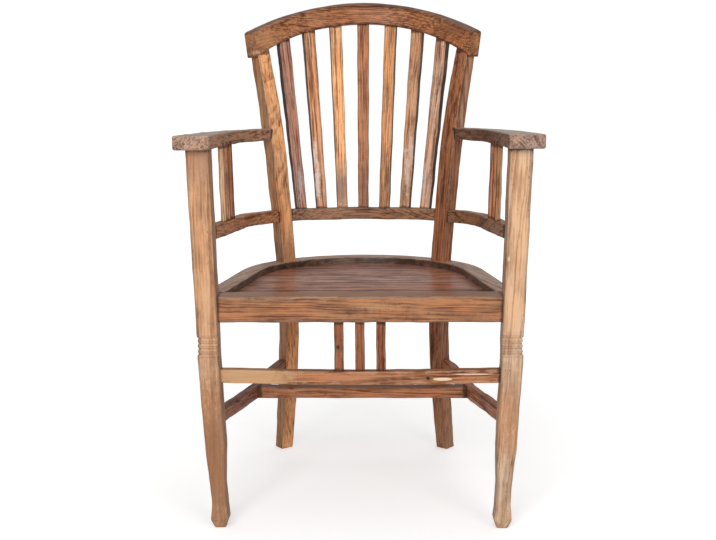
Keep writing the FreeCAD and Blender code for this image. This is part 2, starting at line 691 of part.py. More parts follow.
# Stretchers
def front_stretcher():
    """Stretcher between the front legs that hangs a little in the middle."""
    drop_share = f"(Sizes.stretcher_drop / ({BEAD_BOTTOM} - Sizes.knee_height))"
    leg_x = f"(Sizes.leg_bead_spread - (Sizes.leg_bead_spread - Sizes.knee_spread) * {drop_share})"
    half_length = f"({leg_x} - Sizes.leg_bead_width / 2 + Sizes.housing_depth)"
    y = behind("Sizes.stretcher_setback + Sizes.stretcher_depth / 2")
    z = f"({STRETCHER_TOP} - Sizes.stretcher_height / 2)"
    corners = eased("Sizes.stretcher_depth", "Sizes.stretcher_height")
    stations = [
        (f"-1 * {half_length}", y, z, "0", corners),
        ("0", y, f"{z} - Sizes.stretcher_sag", "0", corners),
        (half_length, y, z, "0", corners),
    ]
    lofted_bar("front_stretcher", "crosswise", stations, ruled=False)


def front_slat(rank):
    """Short slat between the front stretcher and the seat rail."""
    x = f"Sizes.spindle_pitch * {rank - (SPINDLES - 1) / 2}"
    y = behind("Sizes.spindle_setback + Sizes.spindle_thickness / 2")
    corners = eased("Sizes.spindle_width", "Sizes.spindle_thickness")
    foot = f"{STRETCHER_TOP} - Sizes.stretcher_sag - Sizes.housing_depth"
    head = "Sizes.seat_height - Sizes.front_rail_height + Sizes.housing_depth"
    stations = [(x, y, z, "0", corners) for z in (foot, head)]
    lofted_bar(f"front_slat_{rank + 1}", "upright", stations)


def side_stretcher_ends():
    """X and Y of a side stretcher's middle line, inside the leg and inside the post."""
    leg_end = ("Sizes.side_stretcher_spread", behind("Sizes.leg_depth - Sizes.housing_depth"))
    post_end = post_face(
        "Sizes.post_shin_spread", behind("Sizes.post_shin_back"), "Sizes.post_shin_width",
        aside="(Sizes.post_shin_width - Sizes.side_stretcher_end_width) / 2",
    )
    return leg_end, post_end


def side_stretcher(side, sign):
    """Stretcher that bows inwards and climbs from the front leg to the back post."""
    (front_x, front_y), (back_x, back_y) = side_stretcher_ends()
    places = [
        (
            f"({back_x} + ({front_x} - {back_x}) * {out_share})",
            f"({front_y} + ({back_y} - {front_y}) * {along_share})",
            "Sizes.side_stretcher_top - Sizes.side_stretcher_height / 2"
            f" + Sizes.side_stretcher_rise * {along_share}",
            "Sizes.side_stretcher_width",
        )
        for along_share, out_share in SIDE_STRETCHER_SHARES
    ]
    height, end_width = "Sizes.side_stretcher_height", "Sizes.side_stretcher_end_width"
    bent_bar(f"side_stretcher_{side}", sign, places, height, end_width)


def cross_stretcher():
    """Straight stretcher between the middle lines of the two side stretchers."""
    (front_x, front_y), (back_x, back_y) = side_stretcher_ends()
    y = behind("Sizes.cross_setback + Sizes.cross_depth / 2")
    z = "Sizes.cross_bottom + Sizes.cross_height / 2"
    (near_share, near_out_share), (far_share, far_out_share) = SIDE_STRETCHER_SHARES[2:4]
    along = f"(({y} - {front_y}) / ({back_y} - {front_y}) - {near_share})"
    slope = (far_out_share - near_out_share) / (far_share - near_share)
    out = f"({near_out_share} + {slope} * {along})"
    half_length = f"({back_x} + ({front_x} - {back_x}) * {out})"
    corners = eased("Sizes.cross_depth", "Sizes.cross_height")
    stations = [(f"{sign} * {half_length}", y, z, "0", corners) for sign in (-1, 1)]
    lofted_bar("cross_stretcher", "crosswise", stations)


for side, sign in SIDES:
    front_leg(side, sign)
    back_post(side, sign)
    arm(side, sign)
    side_rail(side, sign)
    for rank in range(SPINDLES):
        arm_slat(side, sign, rank)
    rim_side(side, sign)
    seat_batten(side, sign)
    side_stretcher(side, sign)
for rank in range(BACK_SLATS):
    back_slat(rank)
for rank in range(SPINDLES):
    front_slat(rank)
crest_rail()
lower_back_rail()
seat_front_rail()
rim_back()
seat_boards()
front_stretcher()
cross_stretcher()

# Mortises: each piece named here is cut by the pieces whose ends are let into it
posts = [f"back_post_{side}" for side, sign in SIDES]
battens = [f"seat_batten_{side}" for side, sign in SIDES]
boards = [f"seat_board_{rank + 1}" for rank in range(BOARDS)]
back_slats = [f"back_slat_{rank + 1}" for rank in range(BACK_SLATS)]
front_slats = [f"front_slat_{rank + 1}" for rank in range(SPINDLES)]
guests = {
    "crest_rail": posts + back_slats,
    "lower_back_rail": back_slats,
    "front_stretcher": front_slats,
    "seat_front_rail": front_slats + battens,
    "seat_rim_back": posts + boards + battens,
}
for label in boards:
    guests[label] = posts
for side, sign in SIDES:
    arm_slats = [f"arm_slat_{side}_{rank + 1}" for rank in range(SPINDLES)]
    rail_and_stretcher = [f"side_rail_{side}", f"side_stretcher_{side}"]
    guests[f"arm_{side}"] = [f"front_leg_{side}", *arm_slats]
    guests[f"side_rail_{side}"] = arm_slats
    guests[f"side_stretcher_{side}"] = ["cross_stretcher"]
    guests[f"seat_rim_{side}"] = [f"back_post_{side}", *boards]
    guests[f"front_leg_{side}"] = [
        "seat_front_rail", "front_stretcher", f"seat_rim_{side}", *rail_and_stretcher,
    ]
    guests[f"back_post_{side}"] = ["lower_back_rail", f"arm_{side}", *rail_and_stretcher]

pieces = []
for label, blank in blanks.items():
    piece = blank
    if label in guests:
        ends = doc.addObject("Part::Compound", f"{label}_mortises")
        ends.Links = [blanks[guest] for guest in guests[label]]
        piece = doc.addObject("Part::Cut", f"{label}_cut")
        piece.Base = blank
        piece.Tool = ends
    piece.Label = label
    pieces.append(piece)
doc.recompute()

for item in doc.Objects:
    if {"Invalid", "Error"} & set(item.State):
        raise RuntimeError(f"{item.Label} failed: {item.State}")
for piece in pieces:
    if piece.Shape.isNull() or not piece.Shape.isValid() or len(piece.Shape.Solids) != 1:
        raise RuntimeError(f"{piece.Label} is not one valid solid")
for piece in pieces:
    piece.Shape.exportStep(f"parts/{piece.Label}.step")
print(f"{len(pieces)} pieces")
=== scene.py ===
"""Slatted armchair in reclaimed teak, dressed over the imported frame.

Pieces are worked out in millimetres, x to the sitter's left, y from the front legs' faces
to the back, z from the floor. Meshes are in the frame's own axes and in metres, as are the
panel's sizes, the rings and the swirls.
"""
import math
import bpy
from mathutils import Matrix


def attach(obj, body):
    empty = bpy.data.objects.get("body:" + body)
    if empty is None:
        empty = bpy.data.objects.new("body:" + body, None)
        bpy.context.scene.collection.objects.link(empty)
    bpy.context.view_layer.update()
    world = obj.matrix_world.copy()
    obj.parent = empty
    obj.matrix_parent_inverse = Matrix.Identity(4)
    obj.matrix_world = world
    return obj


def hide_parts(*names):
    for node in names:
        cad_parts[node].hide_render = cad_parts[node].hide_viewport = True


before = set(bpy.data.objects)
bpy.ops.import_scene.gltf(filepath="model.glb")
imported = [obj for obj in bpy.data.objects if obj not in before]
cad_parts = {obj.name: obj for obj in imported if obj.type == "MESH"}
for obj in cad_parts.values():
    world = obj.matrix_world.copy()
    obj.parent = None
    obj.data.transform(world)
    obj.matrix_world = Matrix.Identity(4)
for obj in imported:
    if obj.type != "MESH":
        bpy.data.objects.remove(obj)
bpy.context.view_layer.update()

import zlib

import bpy
import numpy as np
from bpy.props import FloatProperty, FloatVectorProperty, PointerProperty
from mathutils import Matrix, Vector

bl_info = {
    "name": "Slatted teak armchair",
    "version": (1, 0, 0),
    "blender": (4, 5, 0),
    "location": "3D View > Sidebar > Armchair",
    "description": "Dresses the armchair's frame in worn, oiled teak",
    "category": "Object",
}

SIDES = (("left", 1), ("right", -1))
MM = 0.001

# The front legs' faces in the frame's own y, and a distance that neither the joints' dirt nor their
# painted shade reaches
LEG_FRONT = -283.5
FAR = 1000.0

# Heights, depths, spacings and a section that several pieces share
SEAT = 430.0
BOARD_TOP = 416.0
BOARD_THICKNESS = 18.0
ARM_TOP = 714.0
ARM_THICKNESS = 25.0
CREST_TOP = 984.0
CREST_UNDERSIDE = 937.0
BEAD_TOP = 361.0
BEAD_HEIGHT = 38.5
BEADS = 4
STRETCHER_TOP = 298.0
BACK_RAIL_TOP = 541.0
HOUSING = 8.0
CREST_HOUSING = 12.0
LEG_HOUSING = 33.0
LEG_OUT = 279.8
FRONT_RAIL_BACK = 62.0
FRONT_RAIL_END = 261.0
SHORT_PITCH = 37.5
SHORT_WIDE = 17.0
SHORT_THIN = 9.5

# Curves in plan, and the crest's two arches
BACK_RAIL_CENTRE = 120.0
BACK_RAIL_RADIUS = 363.0
BARREL_RADIUS = 350.0
BARREL_LEVEL = 905.0
BARREL_LEAN = 0.2
BARREL_CENTRE = 207.7
POST_TURN = 38.0
RIM_CENTRE = 282.0
RIM_OUTER = 249.0
RIM_INNER = 210.0
RIM_OUTER_SPREAD = 286.5
RIM_INNER_SPREAD = 246.0
RIM_HEIGHT = 47.0
LOW_ARCH = 421.0
HIGH_ARCH = 457.5

# Front leg from the top down: height, side, out from the middle
FRONT_LEG = (
    (697, 40.5, LEG_OUT), (361, 38, 270.3), (322.5, 38, 270.3), (152, 35.7, 262.3),
    (84, 27.8, 259.9), (44, 27.8, 257.5), (17, 32.5, 257.5), (0, 20, 257.5),
)

# Back post from the floor up: height, out from the middle, back from the front, side
POST = (
    (0.0, 182.0, 475.0, 29.0), (196.0, 167.2, 455.0, 32.2), (416.0, 166.6, 439.5, 32.3),
    (528.5, 174.9, 438.1, 32.7), (701.5, 191.3, 449.0, 34.3), (885.0, 220.5, 474.3, 30.2),
)

# Side stretcher from the leg to the post: share of the way back, share of the way out
SIDE_STRETCHER = ((0, 1), (0.21, 0.77), (0.36, 0.575), (0.52, 0.39), (0.80, 0.21), (1, 0))
STRETCHER_OUT = 272.0


def a_number(name, description, default, low, high, **more):
    """A number or a length that the panel shows."""
    return FloatProperty(
        name=name, description=description, default=default, min=low, max=high, **more,
    )


def a_colour(name, description, default):
    """A colour that the panel shows."""
    return FloatVectorProperty(
        name=name, description=description, default=default, subtype="COLOR", size=3, min=0, max=1,
    )


class ChairSizes(bpy.types.PropertyGroup):
    """Sizes of the wear that the tools and the years left on the timber."""

    edge: a_number(
        "Edge rounding", "Radius of the worn long edges", 0.0026, 0.0005, 0.006, unit="LENGTH",
    )
    waver: a_number(
        "Hand waver", "How far a hand-cut bar strays from its line", 0.0004, 0, 0.002, unit="LENGTH",
    )
    ring_width: a_number(
        "Growth ring", "Usual distance of two growth rings", 0.0042, 0.001, 0.02, unit="LENGTH",
    )


class TeakColours(bpy.types.PropertyGroup):
    """Tones of the old timbers that the chair is put together from."""

    honey: a_colour("Honey teak", "Light tan timber of the front legs", (0.56, 0.29, 0.135))
    brown: a_colour("Brown teak", "Middling brown timber of the rails", (0.33, 0.15, 0.068))
    red: a_colour("Red teak", "Reddish timber of the crest and short slats", (0.36, 0.145, 0.065))
    grey: a_colour("Weathered teak", "Greyed timber of the arms and the rim", (0.33, 0.205, 0.14))
    dark: a_colour("Dark teak", "Purplish brown timber of the seat boards", (0.19, 0.095, 0.062))
    pale: a_colour("Sapwood", "Pale wood in worn spots and patches", (0.72, 0.52, 0.36))
    # Darkest top colour: a darker band along the crest's top, and a painted shadow on the cross
    # stretcher's top
    dark_and_shade: a_colour("Soot", "Dark film on top of the crest and cross stretcher", (0.03, 0.02, 0.015))
    boards: a_colour("Seat film", "Dark film on top of the seat's front rail", (0.24, 0.14, 0.105))
    # Painted sheen: the pale reflection of the white room, painted on the tops of the arms
    painted_sheen: a_colour("Bleached top", "Greyish film on the tops of the arms", (0.6, 0.48, 0.41))


class Studio(bpy.types.PropertyGroup):
    """Light and floor of the studio."""

    floor: a_colour("Floor", "Colour of the plain floor", (0.86, 0.86, 0.86))
    glow: a_number("Far floor glow", "What makes the far floor white for the camera", 0.75, 0, 2)
    near_glow: a_number("Near floor glow", "The same under the chair, with shadows", 0.43, 0, 2)
    sky: a_number("Room light", "Strength of the even light from all round", 0.36, 0, 2)
    key: a_number("Key lamp", "Power of the large lamp in front", 50, 0, 500, subtype="POWER")


# Curves
def through(knots, values, at):
    """Natural cubic spline through values (stations, parts) at the knots, read at the places at.

    Its second slopes solve the usual three-term rows, with none at both ends.
    """
    knots, values, at = np.asarray(knots, float), np.asarray(values, float), np.asarray(at, float)
    steps = np.diff(knots)
    count = len(knots)
    rows = np.eye(count)
    target = np.zeros_like(values)
    inner = np.arange(1, count - 1)
    rows[inner, inner - 1] = steps[:-1]
    rows[inner, inner] = 2 * (steps[:-1] + steps[1:])
    rows[inner, inner + 1] = steps[1:]
    slopes = np.diff(values, axis=0) / steps[:, None]
    target[1:-1] = 6 * np.diff(slopes, axis=0)
    bends = np.linalg.solve(rows, target)
    span = np.clip(np.searchsorted(knots, at) - 1, 0, count - 2)
    step = steps[span][:, None]
    after = (at - knots[span])[:, None]
    before = step - after
    return (
        bends[span] * before ** 3 / (6 * step) + bends[span + 1] * after ** 3 / (6 * step)
        + (values[span] / step - bends[span] * step / 6) * before
        + (values[span + 1] / step - bends[span + 1] * step / 6) * after
    )


def waver(name, places, parts, size=None):
    """Slow wandering of a hand-cut line: three sine waves of random phase for each part."""
    if size is None:
        size = bpy.context.scene.chair_sizes.waver / MM
    draw = np.random.default_rng(zlib.crc32(name.encode()))
    phase = draw.uniform(0, 2 * math.pi, (3, parts))
    share = draw.uniform(0.4, 1.0, (3, parts))
    pace = np.array([5.0, 11.0, 23.0])[:, None, None] * places[None, :, None]
    waves = share[:, None, :] * np.sin(pace + phase[:, None, :])
    return size * (waves / np.array([1, 2, 4])[:, None, None]).sum(axis=0)


# Rows of points and directions
ACROSS, BACK, UP = np.eye(3)


def as_rows(x, y, z=0.0):
    """Points or directions as rows, from their three parts."""
    return np.stack(np.broadcast_arrays(x, y, z), axis=1)


def same(row, places):
    """One row for every place."""
    return np.tile(row, (len(places), 1))


# Sections and surfaces
def corner_rows(*corners):
    """Sections as (rows, corners, 2), from the two parts of each corner."""
    return np.stack([np.stack(corner, axis=1) for corner in corners], axis=1)


def rectangle(width, height):
    """Corners of rectangles about the path, one for each row."""
    across, up = np.asarray(width) / 2, np.asarray(height) / 2
    return corner_rows((-across, -up), (across, -up), (across, up), (-across, up))


def rounded_ring(corners, radii, arc_steps=4, marks=(0.07, 0.28, 0.5, 0.72, 0.93)):
    """Outline of each row's polygon with its corners rounded, and each point's way to an edge.

    corners is (rows, corners, 2) and radii (rows, corners). On a corner the point turns
    about the centre that lies one radius inside both sides; on a side it runs straight.
    """
    count = corners.shape[1]
    back = np.roll(corners, 1, axis=1) - corners
    ahead = np.roll(corners, -1, axis=1) - corners
    back_length = np.linalg.norm(back, axis=2, keepdims=True)
    ahead_length = np.linalg.norm(ahead, axis=2, keepdims=True)
    back, ahead = back / back_length, ahead / ahead_length
    angle = np.arccos(np.clip((back * ahead).sum(axis=2, keepdims=True), -1, 1))
    radius = radii[:, :, None]
    reach = radius / np.tan(angle / 2)
    start, end = corners + back * reach, corners + ahead * reach
    middle = back + ahead
    middle /= np.linalg.norm(middle, axis=2, keepdims=True)
    centre = corners + middle * radius / np.sin(angle / 2)
    sweep = math.pi - angle
    points, ways = [], []
    for corner in range(count):
        first = (start - centre)[:, corner]
        last = (end - centre)[:, corner]
        turn = sweep[:, corner]
        for share in np.linspace(0, 1, arc_steps + 1):
            blend = (np.sin((1 - share) * turn) * first + np.sin(share * turn) * last) / np.sin(turn)
            points.append(centre[:, corner] + blend)
            ways.append(np.zeros(len(corners)))
        side = start[:, (corner + 1) % count] - end[:, corner]
        length = np.linalg.norm(side, axis=1)
        for mark in marks:
            points.append(end[:, corner] + side * mark)
            ways.append(length * min(mark, 1 - mark))
    return np.stack(points, axis=1), np.stack(ways, axis=1)


def carried(centres, across, upward, corners, radii, ends=(1.2, 1.2), lets=(None, None)):
    """A section carried along a path, and closed at both ends with a rounded edge.

    A point is centre + across * a + upward * b. The end rows shrink the section by
    one radius less the radius's cosine while they move out by its sine. lets are the
    depths to which the ends are let into neighbours.
    """
    ring, ways = rounded_ring(corners, radii)
    along = np.gradient(centres, axis=0)
    along /= np.linalg.norm(along, axis=1, keepdims=True)
    travelled = np.concatenate([[0], np.cumsum(np.linalg.norm(np.diff(centres, axis=0), axis=1))])
    middle = corners.mean(axis=1, keepdims=True)
    half = np.abs(corners - middle).max(axis=1, keepdims=True)
    length = travelled[-1]
    outside = np.full(len(centres), FAR)
    for place, depth in zip((travelled, length - travelled), lets):
        if depth is not None:
            outside = np.minimum(outside, place - depth)

    def cap(index, sign, radius):
        outward = along[index] * sign
        made = []
        for turn in np.radians((0, 22, 45, 68, 90)):
            shrink = 1 - (1 - math.cos(turn)) * radius / half[index]
            made.append((radius * (math.sin(turn) - 1), shrink, np.zeros_like(ways[index])))
        for share in (0.93, 0.8, 0.5, 0.2):
            shrink = (1 - radius / half[index]) * share
            inside = (1 - share) * float(half[index].min()) * np.ones_like(ways[index])
            made.append((0.0, shrink, inside))
        for out, shrink, way in made:
            flat = middle[index] + (ring[index] - middle[index]) * shrink
            place = centres[index] + outward * out
            points = place + flat[:, :1] * across[index] + flat[:, 1:] * upward[index]
            yield points, way, outside[index], (flat - middle[index]) / half[index]

    clear = 0.4
    keep = (travelled > ends[0] + clear) & (travelled < length - ends[1] - clear)
    body = centres[:, None] + ring[:, :, :1] * across[:, None] + ring[:, :, 1:] * upward[:, None]
    to_end = np.minimum(travelled, length - travelled)[:, None]
    ways_here = np.minimum(ways, np.maximum(to_end - min(ends), 0))
    faces = (ring - middle) / half
    parts = zip(
        *reversed(list(cap(0, -1, ends[0]))),
        *zip(body[keep], ways_here[keep], outside[keep], faces[keep]),
        *cap(-1, 1, ends[1]),
    )
    rows, way, outside, face = (np.array(part) for part in parts)
    tips = [0, -1]
    flat = middle[tips, 0]
    poles = centres[tips] + flat[:, :1] * across[tips] + flat[:, 1:] * upward[tips]
    return rows, {"way": way, "outside": outside, "face": face}, poles


def closed_mesh(name, rows, marks, poles):
    """Mesh of a grid that closes round its rows and runs to a single point at each end.

    The grain attribute is the place along, across and through the timber, in metres, the
    edge attribute the way to the nearest worn edge, the outside attribute the way out of
    the neighbours that the ends enter, and the face attribute the place in the section,
    from -1 to 1 across and up.
    """
    count, around = rows.shape[:2]
    points = np.concatenate([rows.reshape(-1, 3), poles])
    index = np.arange(count * around).reshape(count, around)
    beside = np.roll(index, -1, axis=1)
    quads = np.stack([index[:-1], beside[:-1], beside[1:], index[1:]], axis=-1).reshape(-1, 4)
    first, last = count * around, count * around + 1
    start = np.stack([np.full(around, first), beside[0], index[0]], axis=-1)
    finish = np.stack([np.full(around, last), index[-1], beside[-1]], axis=-1)
    corner = points[quads]
    flux = np.cross(corner[:, 1] - corner[:, 0], corner[:, 2] - corner[:, 0]) * (
        corner[:, 0] - points.mean(axis=0)
    )
    if flux.sum() < 0:
        quads, start, finish = quads[:, ::-1], start[:, ::-1], finish[:, ::-1]

    chord = poles[1] - poles[0]
    lengthwise = chord / np.linalg.norm(chord)
    helper = UP if abs(lengthwise[2]) < 0.7 else BACK
    sideways = np.cross(lengthwise, helper)
    sideways /= np.linalg.norm(sideways)
    through_it = np.cross(sideways, lengthwise)
    centre = (poles[0] + poles[1]) / 2
    grain = np.stack([(points - centre) @ axis for axis in (lengthwise, sideways, through_it)], axis=1)

    placed = points + np.array([0, LEG_FRONT, 0])
    mesh = bpy.data.meshes.new(name)
    mesh.from_pydata((placed * MM).tolist(), [], quads.tolist() + start.tolist() + finish.tolist())
    ways = marks["way"].ravel()
    ways = np.concatenate([ways, [ways.max(), ways.max()]]) * MM
    outside = marks["outside"]
    outside = np.concatenate([np.repeat(outside, around), outside[[0, -1]]]) * MM
    faces = np.zeros((len(points), 3))
    faces[:-2, :2] = marks["face"].reshape(-1, 2)
    for label, kind, field, values in (
        ("grain", "FLOAT_VECTOR", "vector", grain * MM), ("edge", "FLOAT", "value", ways),
        ("outside", "FLOAT", "value", outside), ("face", "FLOAT_VECTOR", "vector", faces),
    ):
        made = mesh.attributes.new(label, kind, "POINT")
        made.data.foreach_set(field, values.astype(np.float32).ravel())
    mesh.shade_smooth()
    mesh.update()
    return mesh


def put(node, made):
    """Shows a carried section in place of a node of the frame, in that node's finish."""
    mesh = closed_mesh(f"{node}_timber", *made)
    piece = bpy.data.objects.new(mesh.name, mesh)
    bpy.context.scene.collection.objects.link(piece)
    mesh.materials.append(timber(node))
    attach(piece, "root")
    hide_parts(node)


def bar(node, stations, lie, rows=48, edge=None, ends=(1.2, 1.2), lets=(HOUSING, HOUSING)):
    """A bar of rounded rectangular section through stations.

    A station is x, y, z, the section's turn in degrees, its width and its height. In an
    upright bar the section lies level, and in a level bar it stands on edge. lets are the
    depths to which its ends are let into neighbours.
    """
    stations = np.asarray(stations, float)
    spans = np.linalg.norm(np.diff(stations[:, :3], axis=0), axis=1)
    knots = np.concatenate([[0], np.cumsum(spans)])
    close = [
        away + side * (let + step)
        for away, side, let in ((0, 1, lets[0]), (knots[-1], -1, lets[1])) if let is not None
        for step in (-1.0, 1.0, 3.0, 6.0, 10.0)
    ]
    places = np.union1d(np.union1d(np.linspace(0, knots[-1], rows), knots), close)
    read = through(knots, stations, places)
    turn = np.radians(read[:, 3])
    across = as_rows(np.cos(turn), np.sin(turn))
    upward = as_rows(-np.sin(turn), np.cos(turn)) if lie == "upright" else same(UP, places)
    drift = waver(node, places / 100, 4)
    drift *= np.clip(np.minimum(places, places[-1] - places) / 40, 0, 1)[:, None]
    centres = read[:, :3] + across * drift[:, :1] + upward * drift[:, 1:2]
    corners = rectangle(read[:, 4] + drift[:, 2], read[:, 5] + drift[:, 3])
    edge = edge or bpy.context.scene.chair_sizes.edge / MM
    radius = edge * (1 + 0.25 * waver(node + "_edge", places / 40, 4, 1.0))
    radii = np.clip(radius, 0.8, np.minimum(read[:, 4], read[:, 5])[:, None] / 2 - 0.6)
    put(node, carried(centres, across, upward, corners, radii, ends, lets))


# Shader building
class Value:
    """A socket that gives a number or a vector, with signs of arithmetic for the nodes."""

    def __init__(self, wiring, socket):
        self.wiring = wiring
        self.socket = socket

    def reckon(self, operation, other):
        """A Math node for numbers, and Vector Math for a vector and its scale."""
        if self.socket.type == "VALUE":
            return self.wiring.math(operation, self, other)
        kind = other.socket.type if isinstance(other, Value) else "VECTOR"
        if operation == "MULTIPLY" and kind == "VALUE":
            return self.wiring.vector("SCALE", self, scale=other)
        return self.wiring.vector(operation, self, other)

    def __add__(self, other):
        return self.reckon("ADD", other)

    def __sub__(self, other):
        return self.reckon("SUBTRACT", other)

    def __rsub__(self, other):
        return self.wiring.math("SUBTRACT", other, self)

    def __mul__(self, other):
        return self.reckon("MULTIPLY", other)

    def __truediv__(self, other):
        return self.reckon("DIVIDE", other)


class Wiring:
    """Short words for adding nodes to a tree and joining them."""

    def __init__(self, tree):
        self.tree = tree
        self.place = 0

    def node(self, kind, inputs=(), **settings):
        """A node with its settings, and its inputs in a row or by name."""
        made = self.tree.nodes.new(kind)
        made.location = (180 * (self.place % 12), -260 * (self.place // 12))
        self.place += 1
        for name, value in settings.items():
            setattr(made, name, value)
        if not isinstance(inputs, dict):
            inputs = dict(enumerate(inputs))
        for key, value in inputs.items():
            self.join(value, made.inputs[key])
        return made

    def join(self, source, socket):
        """Links what another node gives, or writes a number, a vector or a colour."""
        if isinstance(source, Value):
            self.tree.links.new(source.socket, socket)
        elif source is not None:
            if np.ndim(source):
                source = (*source, 1.0)[:4 if socket.type == "RGBA" else 3]
            socket.default_value = source

    def result(self, made, output=0):
        return Value(self, made.outputs[output])

    def read(self, kind, output=0, inputs=(), **settings):
        """What a new node gives."""
        return self.result(self.node(kind, inputs, **settings), output)

    def math(self, operation, *values, clamp=False):
        return self.read("ShaderNodeMath", 0, values, operation=operation, use_clamp=clamp)

    def vector(self, operation, first, second=None, scale=None):
        output = "Value" if operation in ("LENGTH", "DISTANCE") else "Vector"
        values = (first, second, None, scale)
        return self.read("ShaderNodeVectorMath", output, values, operation=operation)

    def noise(self, place, scale=1.0, detail=2.0, roughness=0.5, output="Fac"):
        inputs = {"Vector": place, "Scale": scale, "Detail": detail, "Roughness": roughness}
        return self.read("ShaderNodeTexNoise", output, inputs, noise_dimensions="3D")

    def fibrous(self, place, along, across, **more):
        """Noise drawn out along the grain."""
        return self.noise(place * (along, across, across), **more)

    def spread(self, value, low, high, to_low=0.0, to_high=1.0):
        """The value's eased way from low to high, laid out from to_low to to_high."""
        row = (value, low, high, to_low, to_high)
        return self.read("ShaderNodeMapRange", 0, row, interpolation_type="SMOOTHSTEP")

    def mix(self, share, first, second, blend="MIX"):
        inputs = {0: share, 6: first, 7: second}
        return self.read("ShaderNodeMix", 2, inputs, data_type="RGBA", blend_type=blend)

    def split(self, vector):
        made = self.node("ShaderNodeSeparateXYZ", (vector,))
        return [self.result(made, rank) for rank in range(3)]

    def combine(self, *parts):
        return self.read("ShaderNodeCombineXYZ", 0, parts)

    def attribute(self, name, output):
        return self.read("ShaderNodeAttribute", output, attribute_name=name)

    def group(self, name, inputs):
        return self.node("ShaderNodeGroup", inputs, node_tree=bpy.data.node_groups[name])


def fresh(owner):
    """The wiring of a new material's or world's own tree, emptied."""
    owner.use_nodes = True
    owner.node_tree.nodes.clear()
    return Wiring(owner.node_tree)


def new_group(name, inputs, outputs):
    """An empty node group with named sockets: its wiring, its inputs and its outputs.

    An input is a number, a vector or a colour by the count of its default's parts.
    """
    kinds = {1: "NodeSocketFloat", 3: "NodeSocketVector", 4: "NodeSocketColor"}
    tree = bpy.data.node_groups.new(name, "ShaderNodeTree")
    for socket, default in inputs.items():
        kind = kinds[np.size(default)]
        made = tree.interface.new_socket(name=socket, in_out="INPUT", socket_type=kind)
        made.default_value = default
    for socket, kind in outputs.items():
        tree.interface.new_socket(name=socket, in_out="OUTPUT", socket_type=f"NodeSocket{kind}")
    w = Wiring(tree)
    entry = w.node("NodeGroupInput")
    given = {socket: w.result(entry, socket) for socket in inputs}
    return w, given, w.node("NodeGroupOutput").inputs


HALF = (0.5, 0.5, 0.5)
NOWHERE = (0.0, 0.0, 0.0)


